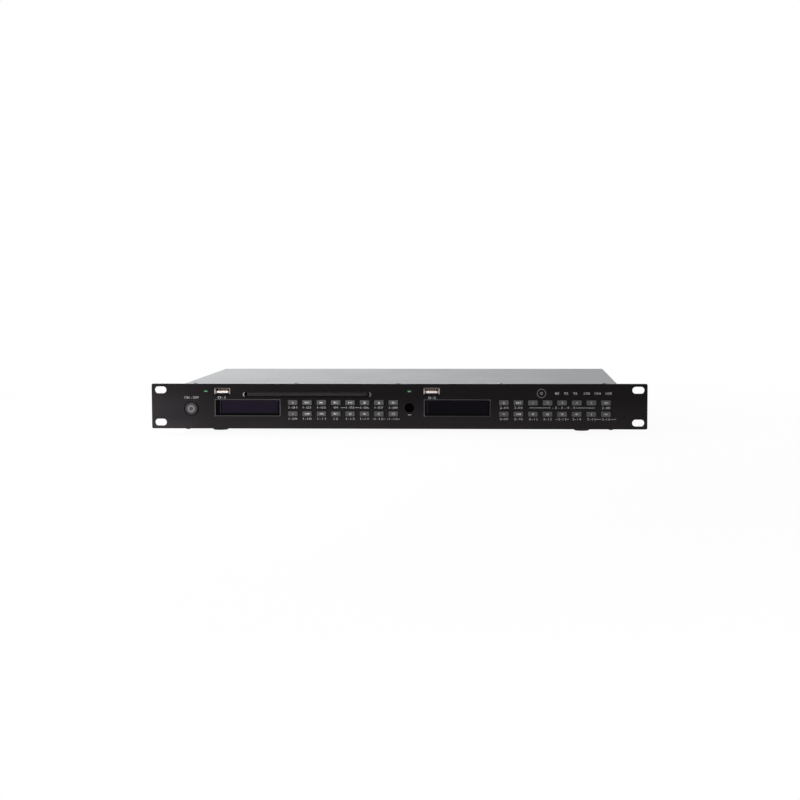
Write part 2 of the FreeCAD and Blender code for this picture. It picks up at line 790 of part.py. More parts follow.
# ---------------------------------------------------------------- case
def channel(body, name, side, low, high, wall, front, back):
    """A sheet channel along Y, open below or above: the cover's and the tray's main fold."""
    opens_up = low == "tray_under"
    web_outer, web_inner = (low, low + " + " + wall) if opens_up else (high, high + " - " + wall)
    free = high if opens_up else low
    corners = [("-" + side, web_outer), (side, web_outer), (side, free), (side + " - " + wall, free),
               (side + " - " + wall, web_inner), (wall + " - " + side, web_inner),
               (wall + " - " + side, free), ("-" + side, free)]
    sketch = polygon(sketch_on(body, name, "front", front), corners)
    pad(body, sketch, back + " - (" + front + ")")

    def at_side(edge, place):
        return runs_along(edge, "y") and abs(abs(edge.CenterOfMass.x) - number(place)) < 0.01

    def outer_fold(edge):
        return at_side(edge, side) and lies_at(edge, "z", web_outer)

    def inner_fold(edge):
        return at_side(edge, side + " - " + wall) and lies_at(edge, "z", web_inner)
    dress(body, "Fillet", name + "_outer_fold", "fold_radius + sheet", outer_fold)
    dress(body, "Fillet", name + "_inner_fold", "fold_radius", inner_fold)


def chassis_tray():
    body = new_body("chassis_tray")
    channel(body, "tray_channel", "tray_side", "tray_under", "wall_top", "sheet", "seat_gap",
            "rear_outer")
    rear = rectangle(sketch_on(body, "rear_wall", "front", "rear_outer"),
                     "fold_radius + sheet - tray_side", "tray_side - fold_radius - sheet",
                     "tray_under", "wall_top")
    pad(body, rear, "sheet", -1)
    tray_rear_holes(body)
    tray_standoffs(body)
    tray_screw_holes(body)
    return body


def tray_rear_holes(body):
    """Cut-outs for the sockets and a row of vents in the rear wall."""
    sketch = sketch_on(body, "rear_holes", "front", "rear_outer")
    centred(sketch, "inlet_x", "inlet_z", "inlet_wide + 2 * side_gap", "inlet_high + 2 * side_gap")
    for across, up in JACKS:
        circle(sketch, across, up, "jack_r + port_gap")
    circle(sketch, "tuner_x", "deck + tuner_high / 2", "aerial_r + port_gap")
    for across in REAR_SCREWS:
        circle(sketch, across, "lip_z", "bore_r")
    pocket(body, sketch, "sheet", -1)
    vent = centred(sketch_on(body, "vent", "front", "rear_outer"), "vent_x", "inlet_z",
                   "vent_wide", "vent_high")
    spread(body, pocket(body, vent, "sheet", -1), ("H_Axis", "vent_pitch", VENT_COUNT))


def tray_standoffs(body):
    """Posts on the floor for the boards and the disc mechanism, bored for their screws."""
    posts = sketch_on(body, "standoffs", "top", "tray_floor")
    bores = sketch_on(body, "standoff_bores", "top", "standoff_top")
    for across, along in MAIN_STANDOFFS + POWER_STANDOFFS:
        circle(posts, across, along, "stud_r")
        circle(bores, across, along, "bore_r")
    pad(body, posts, "standoff_high")
    pocket(body, bores, "standoff_high - seat_gap", -1)
    pillars = sketch_on(body, "pillars", "top", "tray_floor")
    pillar_bores = sketch_on(body, "pillar_bores", "top", "mech_under")
    for across, along in PILLARS:
        circle(pillars, across, along, "pillar_r")
        circle(pillar_bores, across, along, "bore_r")
    pad(body, pillars, "mech_under - tray_floor")
    pocket(body, pillar_bores, "screw_long", -1)


def tray_screw_holes(body):
    floor = sketch_on(body, "floor_holes", "top", "tray_under")
    for side in ("-1", "1"):
        circle(floor, side + " * lug_x", "lug_screw_y", "hole_r")
        for along in ("foot_front_y", "foot_back_y"):
            circle(floor, side + " * foot_x", along, "foot_stem_r + seat_gap")
    pocket(body, floor, "sheet")
    for name, level in (("left_wall_hole", "-tray_side"), ("right_wall_hole", "tray_inner")):
        hole = circle(sketch_on(body, name, "side", level), "side_screw_y", "side_screw_z", "bore_r")
        spread(body, pocket(body, hole, "sheet"), ("H_Axis", "side_screw_pitch", 2))


def top_cover():
    body = new_body("top_cover")
    lip_end = "(cover_side - fold_radius - sheet)"
    lip_low = "cover_top - lip_high - sheet"
    lip = polygon(sketch_on(body, "rear_lip", "side", "-" + lip_end), [
        ("cover_depth - lip_high", "cover_under"), ("cover_depth - sheet", "cover_under"),
        ("cover_depth - sheet", lip_low), ("cover_depth", lip_low), ("cover_depth", "cover_top"),
        ("cover_depth - lip_high", "cover_top")])
    pad(body, lip, "2 * " + lip_end)
    dress(body, "Fillet", "rear_outer_fold", "fold_radius + sheet",
          lambda edge: lies_at(edge, "y", "cover_depth") and lies_at(edge, "z", "cover_top"))
    dress(body, "Fillet", "rear_inner_fold", "fold_radius",
          lambda edge: lies_at(edge, "y", "cover_depth - sheet") and lies_at(edge, "z", "cover_under"))
    channel(body, "cover_channel", "cover_side", "tray_floor", "cover_top", "sheet", "cover_gap",
            "cover_depth - fold_radius - sheet")
    top_holes = sketch_on(body, "top_holes", "top", "cover_top")
    for across in TOP_SCREWS:
        circle(top_holes, across, "top_screw_y", "hole_r")
    pocket(body, top_holes, "sheet", -1)
    rear_holes = sketch_on(body, "lip_holes", "front", "cover_depth")
    for across in REAR_SCREWS:
        circle(rear_holes, across, "lip_z", "hole_r")
    pocket(body, rear_holes, "sheet", -1)
    for name, level in (("left_hole", "-cover_side"), ("right_hole", "cover_side - sheet")):
        hole = circle(sketch_on(body, name, "side", level), "side_screw_y", "side_screw_z", "hole_r")
        spread(body, pocket(body, hole, "sheet"), ("H_Axis", "side_screw_pitch", 2))
    return body


def feet():
    """Rubber feet, each pushed through the floor with a barbed stem."""
    foot = new_body("foot")
    barb_top = "sheet + 2 * seat_gap + foot_barb_high"
    revolve(foot, "foot_profile", [
        ("0", "foot_dish_deep - foot_high"), ("foot_dish_r - foot_taper", "foot_dish_deep - foot_high"),
        ("foot_dish_r", "-foot_high"), ("foot_r - 2 * foot_taper", "-foot_high"),
        ("foot_r - foot_taper", "foot_taper - foot_high"), ("foot_r", "0"), ("foot_stem_r", "0"),
        ("foot_stem_r", "sheet + 2 * seat_gap"), ("foot_barb_r", "sheet + 2 * seat_gap"),
        ("foot_stem_r / 2", barb_top), ("0", barb_top)])
    return group("feet", [copy_of(foot, "foot_at", across, along, "tray_under")
                          for across in ("-foot_x", "foot_x")
                          for along in ("foot_front_y", "foot_back_y")])


def case_screws():
    """Pan-head screws of the case, the boards and the disc mechanism: head up, shank down."""
    screw = new_body("screw")
    revolve(screw, "screw_profile", [
        ("0", "-screw_long"), ("screw_r", "-screw_long"), ("screw_r", "0"), ("head_r", "0"),
        ("head_r", "head_high / 2"), ("0.7 * head_r", "head_high"), ("0", "head_high")])
    places = [(across, "top_screw_y", "cover_top", "up") for across in TOP_SCREWS]
    places += [(across, "cover_depth", "lip_z", "back") for across in REAR_SCREWS]
    places += [(across, "lug_screw_y", "tray_under", "down") for across in ("-lug_x", "lug_x")]
    places += [(side, along, "side_screw_z", facing)
               for side, facing in (("-cover_side", "left"), ("cover_side", "right"))
               for along in ("side_screw_y", "side_screw_y + side_screw_pitch")]
    places += [(across, "board_back", "stud_z", "back") for across in LEFT_STUDS + RIGHT_STUDS]
    places += [(across, along, "deck", "up") for across, along in MAIN_STANDOFFS + POWER_STANDOFFS]
    places += [(across, along, "mech_floor", "up") for across, along in PILLARS]
    return group("case_screws", [copy_of(screw, "screw_at", *place) for place in places])


# ---------------------------------------------------------------- fittings behind the panel
def slot_felt():
    """Two felt strips behind the disc slot, with a slit between them."""
    ends = ("slot_x - slot_long / 2 - 2 * felt_margin", "slot_x + slot_long / 2 + 2 * felt_margin")
    depth = ("felt_gap", "felt_gap + felt_thick")
    low = ("slot_z - slot_high / 2 - felt_margin", "slot_z - felt_slit / 2")
    high = ("slot_z + felt_slit / 2", "slot_z + slot_high / 2 + felt_margin")
    return group("slot_felt", [block("felt_low", *ends, *depth, *low),
                               block("felt_high", *ends, *depth, *high)])


def pair(label, piece, left_x, right_x, z):
    """Two equal pieces, one on each side of the panel."""
    return group(label, [copy_of(piece, label + "_left", left_x, "0", z),
                         copy_of(piece, label + "_right", right_x, "0", z)])


def display_windows():
    lens = new_body("lens")
    flange = centred(sketch_on(lens, "lens_flange", "front", "seat_gap"), "0", "0",
                     "window_long + 2 * lens_flange", "window_high + 2 * lens_flange")
    pad(lens, flange, "lens_flange_thick")
    face = centred(sketch_on(lens, "lens_face", "front", "seat_gap"), "0", "0",
                   "window_long - 2 * lens_fit", "window_high - 2 * lens_fit")
    pad(lens, face, "panel_thick - lens_recess + seat_gap", -1)
    return pair("display_windows", lens, "window_left_x", "window_right_x", "window_z")


def display_modules():
    module = new_body("module")
    front = "lens_back + module_gap"
    frame = centred(sketch_on(module, "module_frame", "front", "board_stand"), "0", "0",
                    "module_long", "module_high")
    pad(module, frame, "board_stand - (" + front + ")", -1)
    glass = centred(sketch_on(module, "module_glass", "front", front), "0", "0",
                    "module_long - 2 * module_rim", "module_high - 2 * module_rim")
    pocket(module, glass, "module_dish")
    return pair("display_modules", module, "window_left_x", "window_right_x", "window_z")


def usb_sockets():
    """Upright USB sockets: a flared sheet shell with a tongue inside."""
    socket = new_body("usb_socket")
    flare_back = "panel_front + usb_flare_deep"
    shell = centred(sketch_on(socket, "usb_shell", "front", "board_stand"), "0", "0",
                    "usb_wide", "usb_high")
    pad(socket, shell, "board_stand - (" + flare_back + ")", -1)
    loft_parts = [("usb_throat", flare_back, "0"), ("usb_mouth", "panel_front", "usb_flare")]
    for kind, name, skin in (("AdditiveLoft", "outer", "0"), ("SubtractiveLoft", "inner", "usb_skin")):
        sections = []
        for part, level, flare in loft_parts:
            grow = " + 2 * (" + flare + ") - 2 * (" + skin + ")"
            sections.append(centred(sketch_on(socket, part + "_" + name, "front", level), "0", "0",
                                    "usb_wide" + grow, "usb_high" + grow))
        loft = socket.newObject("PartDesign::" + kind, "usb_flare_" + name)
        loft.Profile = sections[0]
        loft.Sections = [sections[1]]
        loft.Ruled = True
    hollow = centred(sketch_on(socket, "usb_hollow", "front", flare_back), "0", "0",
                     "usb_wide - 2 * usb_skin", "usb_high - 2 * usb_skin")
    pocket(socket, hollow, "board_stand - usb_skin * 2 - (" + flare_back + ")")
    tongue = centred(sketch_on(socket, "usb_tongue", "front", "panel_front + usb_tongue_back"),
                     "0", "-usb_tongue_drop", "usb_tongue_wide", "usb_tongue_high")
    pad(socket, tongue, "board_stand - usb_skin - (panel_front + usb_tongue_back)")
    return pair("usb_sockets", socket, "usb_left_x", "usb_right_x", "usb_z")


def status_lights():
    light = new_body("light")
    face = centred(sketch_on(light, "light_face", "front", "seat_gap"), "0", "0",
                   "light_wide - 2 * light_fit", "light_high - 2 * light_fit")
    pad(light, face, "panel_thick + light_stand + seat_gap", -1)
    shoulder = centred(sketch_on(light, "light_shoulder", "front", "seat_gap"), "0", "0",
                       "light_wide + 2 * light_shoulder", "light_high + 2 * light_shoulder")
    pad(light, shoulder, "light_shoulder")
    leg = centred(sketch_on(light, "light_leg", "front", "board_stand"), "0", "0",
                  "2 * light_leg", "light_leg")
    pad(light, leg, "board_stand - seat_gap - light_shoulder", -1)
    return pair("status_lights", light, "light_left_x", "light_right_x", "light_z")


def ir_receiver():
    """Infrared receiver: a dark dome in the panel on a square block on the board."""
    body = new_body("ir_receiver")
    front = "panel_front + eye_recess"
    radius = "eye_r - eye_fit"
    revolve(body, "eye_profile", [
        (front, "0"), (front + " + eye_dome / 4", "0.7 * (" + radius + ")"),
        (front + " + eye_dome", radius), ("seat_gap", radius), ("seat_gap", "0")], "H_Axis", "side")
    back_block = centred(sketch_on(body, "eye_block", "front", "seat_gap"), "0", "0",
                         "eye_block", "eye_block")
    pad(body, back_block, "board_stand - seat_gap")
    return put(body, "eye_x", "0", "eye_z")


def key_boards():
    """The two boards behind the panel, which carry every push switch."""
    left = new_body("left_board")
    light_tab = ("light_left_x - light_wide / 2 - tab_margin", "usb_left_x + usb_half + tab_margin")
    small_tab = ("light_right_x - light_wide / 2 - tab_margin / 2",
                 "light_right_x + light_wide / 2 + tab_margin / 2")
    outline = [("board_left", "board_bottom"), (small_tab[1], "board_bottom"),
               (small_tab[1], "tab_top"), (small_tab[0], "tab_top"), (small_tab[0], "board_top"),
               (light_tab[1], "board_top"), (light_tab[1], "tab_top"), (light_tab[0], "tab_top"),
               (light_tab[0], "board_top"), ("board_left", "board_top")]
    board(left, "left_outline", outline, LEFT_STUDS)
    switches(left, "disc_switch", "disc_key_x")
    standby = centred(sketch_on(left, "standby_switch", "front", "board_stand"), "standby_x", "standby_z",
                      "switch_wide", "switch_wide")
    pad(left, standby, "switch_deep", -1)
    plunger = centred(sketch_on(left, "standby_plunger", "front", "board_stand - switch_deep"),
                      "standby_x", "standby_z", "plunger_wide", "plunger_wide")
    pad(left, plunger, "plunger_deep", -1)
    right = new_body("right_board")
    usb_tab = ("usb_right_x - usb_half - tab_margin", "usb_right_x + usb_half + tab_margin")
    board(right, "right_outline", [
        (usb_tab[0], "board_bottom"), ("board_right", "board_bottom"), ("board_right", "board_top"),
        (usb_tab[1], "board_top"), (usb_tab[1], "tab_top"), (usb_tab[0], "tab_top")], RIGHT_STUDS)
    switches(right, "tuner_switch", "tuner_key_x")
    return group("key_boards", [left, right])


def board(body, name, outline, studs):
    plate = polygon(sketch_on(body, name, "front", "board_stand"), outline)
    pad(body, plate, "board_thick")
    holes = sketch_on(body, name + "_holes", "front", "board_stand")
    for across in studs:
        circle(holes, across, "stud_z", "hole_r")
    pocket(body, holes, "board_thick")


def switches(body, name, start):
    """Two rows of square push switches with their plungers."""
    rows = (("H_Axis", "key_pitch_x", KEY_COLUMNS), ("V_Axis", "key_pitch_z", KEY_ROWS))
    cases = centred(sketch_on(body, name, "front", "board_stand"), start, "key_z - key_pitch_z",
                    "switch_wide", "switch_wide")
    spread(body, pad(body, cases, "switch_deep", -1), *rows)
    plungers = centred(sketch_on(body, name + "_plunger", "front", "board_stand - switch_deep"),
                       start, "key_z - key_pitch_z", "plunger_wide", "plunger_wide")
    spread(body, pad(body, plungers, "plunger_deep", -1), *rows)


# ---------------------------------------------------------------- keys
def key(label, start, column, row):
    """A key cap with a rim that stops it behind the panel and a stem towards its switch."""
    body = new_body(label)
    cap = centred(sketch_on(body, "cap", "front", "rim_front"), "0", "0", "key_wide", "key_high")
    pad(body, cap, "panel_thick + key_stand + rim_front", -1)
    dress(body, "Fillet", "cap_corners", "key_corner", lambda edge: runs_along(edge, "y"))
    dress(body, "Chamfer", "cap_bevel", "key_bevel",
          lambda edge: lies_at(edge, "y", "panel_front - key_stand"))
    rim = centred(sketch_on(body, "rim", "front", "rim_front"), "0", "0",
                  "key_wide + 2 * key_rim", "key_high + 2 * key_rim")
    pad(body, rim, "key_rim_thick")
    stem = centred(sketch_on(body, "stem", "front", "rim_back"), "0", "0",
                   "key_stem_wide", "key_stem_high")
    pad(body, stem, "stem_end - rim_back")
    return put(body, "{} + {} * key_pitch_x".format(start, column), "0",
               "key_z - {} * key_pitch_z".format(row))


def keys():
    made = []
    for prefix, start, names in (("disc_key_", "disc_key_x", DISC_KEYS),
                                 ("tuner_key_", "tuner_key_x", TUNER_KEYS)):
        for row, row_names in enumerate(names):
            for column, name in enumerate(row_names):
                made.append(key(prefix + name, start, column, row))
    return made


def standby_button():
    """Round button with a raised ring on its face."""
    body = new_body("standby_button")
    radius = "standby_hole_r - standby_fit"
    face = "panel_front - standby_stand"
    ring_face = face + " - standby_ring_stand"
    ring_inner = "standby_ring_r - standby_ring_wide"
    revolve(body, "standby_profile", [
        (face, "0"), (face, ring_inner), (ring_face, ring_inner),
        (ring_face, "standby_ring_r"), (face, "standby_ring_r"),
        (face, radius + " - standby_bevel"), (face + " + standby_bevel", radius),
        ("rim_front", radius), ("rim_front", "standby_hole_r + standby_rim"),
        ("rim_back", "standby_hole_r + standby_rim"), ("rim_back", "key_stem_high"),
        ("stem_end", "key_stem_high"), ("stem_end", "0")], "H_Axis", "side")
    return put(body, "standby_x", "0", "standby_z")


# ---------------------------------------------------------------- disc mechanism
def mech_base():
    """Moulded frame of the slot loader: an open tray on four pillars."""
    body = new_body("mech_base")
    outer = rectangle(sketch_on(body, "mech_outline", "top", "mech_under"),
                      "-mech_half", "mech_half", "mech_front", "mech_back")
    pad(body, outer, "mech_top - mech_under")
    inner = rectangle(sketch_on(body, "mech_room", "top", "mech_top"),
                      "mech_wall - mech_half", "mech_half - mech_wall",
                      "mech_front + mech_wall", "mech_back - mech_wall")
    pocket(body, inner, "mech_top - mech_floor", -1)
    mouth = rectangle(sketch_on(body, "mech_mouth", "front", "mech_front"),
                      "mech_wall - mech_half", "mech_half - mech_wall",
                      "mech_floor + front_wall_high", "mech_top + mech_wall")
    pocket(body, mouth, "mech_wall")
    window = rectangle(sketch_on(body, "sled_window", "top", "mech_floor"),
                       "rod_post_half - rod_x", "rod_x - rod_post_half",
                       "rod_post_y + rod_post_thick", "mech_back - sled_window_edge")
    pocket(body, window, "mech_wall", -1)
    mech_bearings(body)
    mech_posts(body)
    screw_holes = sketch_on(body, "mech_screw_holes", "top", "mech_floor")
    for across, along in PILLARS:
        circle(screw_holes, across + " - slot_x", along, "hole_r")
    pocket(body, screw_holes, "mech_wall", -1)
    return put(body, "slot_x")


def mech_bearings(body):
    """Holes for the feed roller's shaft, and the loading motor's bracket."""
    for name, level in (("left_bearing", "-mech_half"), ("right_bearing", "mech_half - mech_wall")):
        hole = circle(sketch_on(body, name, "side", level), "roller_y", "roller_z", "shaft_r + run_fit")
        pocket(body, hole, "mech_wall")
    bracket = rectangle(sketch_on(body, "motor_bracket", "side", "bracket_x"),
                        "pinion_y - loader_motor_r", "pinion_y + loader_motor_r",
                        "mech_floor", "pinion_z + loader_motor_r")
    pad(body, bracket, "mech_wall")
    bracket_hole = circle(sketch_on(body, "bracket_hole", "side", "bracket_x"),
                          "pinion_y", "pinion_z", "2 * pin_r")
    pocket(body, bracket_hole, "mech_wall")


def mech_posts(body):
    """Posts and rods of the laser sled, the lead screw's bearing and the clamp arm's posts."""
    posts = sketch_on(body, "rod_posts", "front", "rod_post_y")
    rods = sketch_on(body, "rods", "front", "rod_post_y")
    for across in ("-rod_x", "rod_x"):
        rectangle(posts, across + " - rod_post_half", across + " + rod_post_half",
                  "mech_floor", "rod_z + rod_post_half")
        circle(rods, across, "rod_z", "shaft_r")
    pad(body, posts, "rod_post_thick")
    pad(body, rods, "mech_back - mech_wall - rod_post_y")
    bearing = circle(sketch_on(body, "screw_bearing", "front", "mech_back - mech_wall"),
                     "lead_screw_x", "rod_z", "pin_r + run_fit")
    pocket(body, bearing, "mech_wall")
    arm_posts = sketch_on(body, "arm_posts", "top", "mech_floor")
    inner, outer = "(arm_bar_half + arm_post_gap)", "(arm_bar_half + arm_post_gap + arm_post_wide)"
    for left, right in (("-" + outer, "-" + inner), (inner, outer)):
        rectangle(arm_posts, left, right,
                  "arm_pivot_y - arm_post_deep / 2", "arm_pivot_y + arm_post_deep / 2")
    pad(body, arm_posts, "arm_pivot_z - mech_floor + 1.5 * shaft_r")
    for name, level in (("left_pivot", "-" + outer), ("right_pivot", inner)):
        pivot = circle(sketch_on(body, name, "side", level),
                       "arm_pivot_y", "arm_pivot_z", "shaft_r + run_fit")
        pocket(body, pivot, "arm_post_wide")


def disc_guide():
    """Upper guide across the mouth of the loader, resting on both side walls."""
    body = new_body("disc_guide")
    half, low = "(disc_width / 2 + guide_margin)", "slot_z + guide_gap"
    inner = "(disc_width / 2 + guide_margin - guide_thick)"
    top = "mech_top + guide_thick"
    profile = [("-mech_half", "mech_top"), ("-" + half, "mech_top"), ("-" + half, low), (half, low),
               (half, "mech_top"), ("mech_half", "mech_top"), ("mech_half", top), (inner, top),
               (inner, low + " + guide_thick"), ("-" + inner, low + " + guide_thick"),
               ("-" + inner, top), ("-mech_half", top)]
    section = polygon(sketch_on(body, "guide_section", "front", "mech_front + seat_gap"), profile)
    pad(body, section, "guide_deep")
    return put(body, "slot_x")


def tooth_point(radius, teeth, side):
    """A point of a tooth's involute flank, at a radius: (across, up) about the gear's axis."""
    base = "(gear_module * {} / 2 * cos(gear_pressure))".format(teeth)
    slope = "acos(min({} / ({}); 1))".format(base, radius)
    roll = "(tan({0}) * 180 / pi - ({0}) / 1 deg)"
    half = "(90 / {0} - gear_play / (gear_module * {0}) * 90 / pi + {1} - {2})".format(
        teeth, roll.format("gear_pressure * 1 deg"), roll.format(slope))
    return "({}) * cos({})".format(radius, half), "{}({}) * sin({})".format(side, radius, half)


def gear_teeth(body, name, teeth, level, wide):
    """A spur gear about the body's X axis: a root disc and one tooth repeated round it."""
    pitch = "gear_module * {} / 2".format(teeth)
    root = "({} - gear_dedendum * gear_module)".format(pitch)
    tip = "({} + gear_addendum * gear_module)".format(pitch)
    disc = circle(sketch_on(body, name + "_disc", "side", level), "0", "0", root)
    pad(body, disc, wide)
    radii = [root + " * 0.97", root + " / 2 + (" + pitch + ") / 2", pitch, tip]
    flank = [tooth_point(radius, teeth, "") for radius in radii]
    other = [tooth_point(radius, teeth, "-") for radius in reversed(radii)]
    tooth = pad(body, polygon(sketch_on(body, name + "_tooth", "side", level), flank + other), wide)
    ring = body.newObject("PartDesign::PolarPattern", name + "_ring")
    ring.Originals = [tooth]
    ring.Axis = (origin_feature(body, "X_Axis"), [""])
    ring.Angle = 360
    ring.setExpression("Occurrences", formula(teeth))
    body.Tip = ring


def turn_about_x(body, angle):
    body.Placement = FreeCAD.Placement(FreeCAD.Vector(), FreeCAD.Rotation(FreeCAD.Vector(1, 0, 0), 10))
    body.setExpression("Placement.Rotation.Angle", formula(angle))


def feed_roller():
    """Rubber roller with a waist, on a shaft with the large gear at its left end."""
    body = new_body("feed_roller")
    revolve(body, "roller_profile", [
        ("-mech_half - seat_gap", "0"), ("-mech_half - seat_gap", "shaft_r"),
        ("-disc_width / 2", "shaft_r"), ("-disc_width / 2", "roller_r"),
        ("0", "roller_r - roller_waist"), ("disc_width / 2", "roller_r"),
        ("disc_width / 2", "shaft_r"), ("mech_half + seat_gap", "shaft_r"),
        ("mech_half + seat_gap", "0")], "H_Axis")
    gear_teeth(body, "roller_gear", "roller_teeth", "gear_x", "gear_wide")
    turn_about_x(body, "-gear_angle * 1 deg")
    return put(body, "slot_x", "roller_y", "roller_z")


def loading_pinion():
    """Small gear that drives the roller, on the loading motor's shaft."""
    body = new_body("loading_pinion")
    gear_teeth(body, "pinion_gear", "pinion_teeth", "gear_x", "gear_wide")
    shaft = circle(sketch_on(body, "pinion_shaft", "side", "gear_x + gear_wide"), "0", "0", "pin_r")
    pad(body, shaft, "gear_gap + mech_wall + loader_motor_long / 4")
    turn_about_x(body, "(180 - gear_angle + 180 / pinion_teeth) * 1 deg")
    return put(body, "slot_x", "pinion_y", "pinion_z")


def motor(name, radius, length, bore_deep, x, y, z, facing):
    """A plain can with a bore, from its shaft end, for the shaft it turns."""
    case = drum(name + "_case", radius, length, x, y, z, facing)
    bore = drum(name + "_bore", "pin_r + run_fit", bore_deep, x, y, z, facing)
    return cut(name, case, bore)


def drive_motors():
    """Spindle motor, loading motor and sled motor."""
    spindle_top = "mech_floor + spindle_motor_high"
    spindle = motor("spindle_motor", "spindle_motor_r", "spindle_motor_high",
                    "spindle_motor_high - 2 * sheet", "slot_x", "spindle_y", spindle_top, "down")
    loader = motor("loader_motor", "loader_motor_r", "loader_motor_long",
                   "loader_motor_long / 4 + seat_gap",
                   "slot_x + bracket_x + mech_wall", "pinion_y", "pinion_z", "right")
    sled = motor("sled_motor", "sled_motor_r", "sled_motor_long", "sled_motor_long / 2",
                 "slot_x + lead_screw_x", "sled_motor_back", "rod_z", "front")
    return group("drive_motors", [spindle, loader, sled])


def disc_turntable():
    body = new_body("disc_turntable")
    motor_top = "mech_floor + spindle_motor_high"
    platter = "disc_under - platter_thick"
    revolve(body, "turntable_profile", [
        ("0", "mech_floor + 3 * sheet"), ("pin_r", "mech_floor + 3 * sheet"),
        ("pin_r", motor_top + " + lead_screw_gap"),
        ("turntable_neck_r", motor_top + " + lead_screw_gap"),
        ("turntable_neck_r", platter), ("platter_r", platter), ("platter_r", "disc_under"),
        ("hub_r", "disc_under"), ("hub_r", "disc_under + hub_high - hub_bevel"),
        ("hub_r - hub_bevel", "disc_under + hub_high"), ("0", "disc_under + hub_high")])
    return put(body, "slot_x", "spindle_y")


def clamp_arm():
    """Arm over the turntable with a clamping puck, hinged at the back of the loader."""
    body = new_body("clamp_arm")
    half = "arm_thick / 2"
    plate = polygon(sketch_on(body, "arm_plate", "top", "-" + half), [
        ("-arm_wide / 2", "-arm_long"), ("arm_wide / 2", "-arm_long"), ("arm_wide / 2", "-arm_bar_deep"),
        ("arm_bar_half", "-arm_bar_deep"), ("arm_bar_half", "arm_bar_deep / 2"),
        ("-arm_bar_half", "arm_bar_deep / 2"), ("-arm_bar_half", "-arm_bar_deep"),
        ("-arm_wide / 2", "-arm_bar_deep")])
    pad(body, plate, "arm_thick")
    puck = circle(sketch_on(body, "puck", "top", half), "0", "-arm_long", "clamp_r")
    pad(body, puck, "arm_thick + clamp_high", -1)
    recess = circle(sketch_on(body, "puck_recess", "top", "-" + half + " - clamp_high"),
                    "0", "-arm_long", "hub_r + clamp_recess_gap")
    pocket(body, recess, "clamp_recess")
    for name, level in (("left_pin", "-arm_bar_half - arm_post_gap - arm_post_wide"),
                        ("right_pin", "arm_bar_half")):
        pin = circle(sketch_on(body, name, "side", level), "0", "0", "shaft_r")
        pad(body, pin, "arm_post_gap + arm_post_wide")
    return put(body, "slot_x", "arm_pivot_y", "arm_pivot_z")


def laser_sled():
    """Optical pickup on two rods, with a nut that grips the lead screw."""
    body = new_body("laser_sled")
    low, high = "-rod_rise + sled_low", "-rod_rise + sled_high"
    case = rectangle(sketch_on(body, "sled_case", "front", "-sled_deep / 2"),
                     "-sled_half", "sled_half", low, high)
    pad(body, case, "sled_deep")
    nut = rectangle(sketch_on(body, "nut", "front", "-nut_half"),
                    "sled_half", "lead_screw_x + nut_half", "-nut_half", "nut_half")
    pad(body, nut, "2 * nut_half")
    lens = circle(sketch_on(body, "sled_lens", "top", high), "0", "0", "lens_r")
    pad(body, lens, "lens_high")
    bores = sketch_on(body, "sled_bores", "front", "-sled_deep / 2")
    for across in ("-rod_x", "rod_x"):
        circle(bores, across, "0", "shaft_r + run_fit")
    circle(bores, "lead_screw_x", "0", "lead_screw_r + nut_gap")
    pocket(body, bores, "sled_deep")
    return put(body, "slot_x", "sled_y", "rod_z")


def sled_screw():
    """Lead screw of the laser sled, between its motor and the rear wall of the loader."""
    body = new_body("sled_screw")
    front = "sled_motor_back"
    revolve(body, "lead_profile", [
        (front + " - sled_motor_long / 3", "0"), (front + " - sled_motor_long / 3", "pin_r"),
        (front + " + lead_screw_gap", "pin_r"), (front + " + lead_screw_gap", "lead_screw_r"),
        ("mech_back - mech_wall - lead_screw_gap", "lead_screw_r"),
        ("mech_back - mech_wall - lead_screw_gap", "pin_r"), ("mech_back", "pin_r"),
        ("mech_back", "0")], "H_Axis", "side")
    return put(body, "slot_x + lead_screw_x", "0", "rod_z")


# ---------------------------------------------------------------- boards and sockets in the case
def deck_board(name, left, right, front, back, standoffs):
    """A bare circuit board on its standoffs."""
    body = new_body(name)
    plate = rectangle(sketch_on(body, name + "_plate", "top", "standoff_top"), left, right, front, back)
    pad(body, plate, "board_thick")
    holes = sketch_on(body, name + "_holes", "top", "standoff_top")
    for across, along in standoffs:
        circle(holes, across, along, "hole_r")
    pocket(body, holes, "board_thick")
    return body


def on_deck(name, across, along, wide, deep, high):
    """A block that stands on a board, about a place on it."""
    half = "{} {} ({}) / 2"
    return block(name, half.format(across, "-", wide), half.format(across, "+", wide),
                 half.format(along, "-", deep), half.format(along, "+", deep), "deck", "deck + " + high)


def main_board():
    plate = deck_board("main_plate", "main_left", "main_right", "main_front_y", "main_back",
                       MAIN_STANDOFFS)
    middle, front = "(main_left + main_right) / 2 + ", "main_front_y + "
    parts = [on_deck("decoder_chip", middle + "decoder_x", front + "decoder_y",
                     "decoder_wide", "decoder_wide", "chip_high"),
             on_deck("control_chip", middle + "control_x", front + "control_y",
                     "control_wide", "control_wide", "chip_high"),
             on_deck("shield_can", middle + "shield_x", front + "shield_y",
                     "shield_wide", "shield_deep", "shield_high")]
    parts += [drum("capacitor", "capacitor_r", "capacitor_high",
                   middle + "capacitor_x + {} * capacitor_pitch".format(step),
                   front + "capacitor_y", "deck") for step in (-1, 0, 1)]
    return fuse("main_board", [plate] + parts)


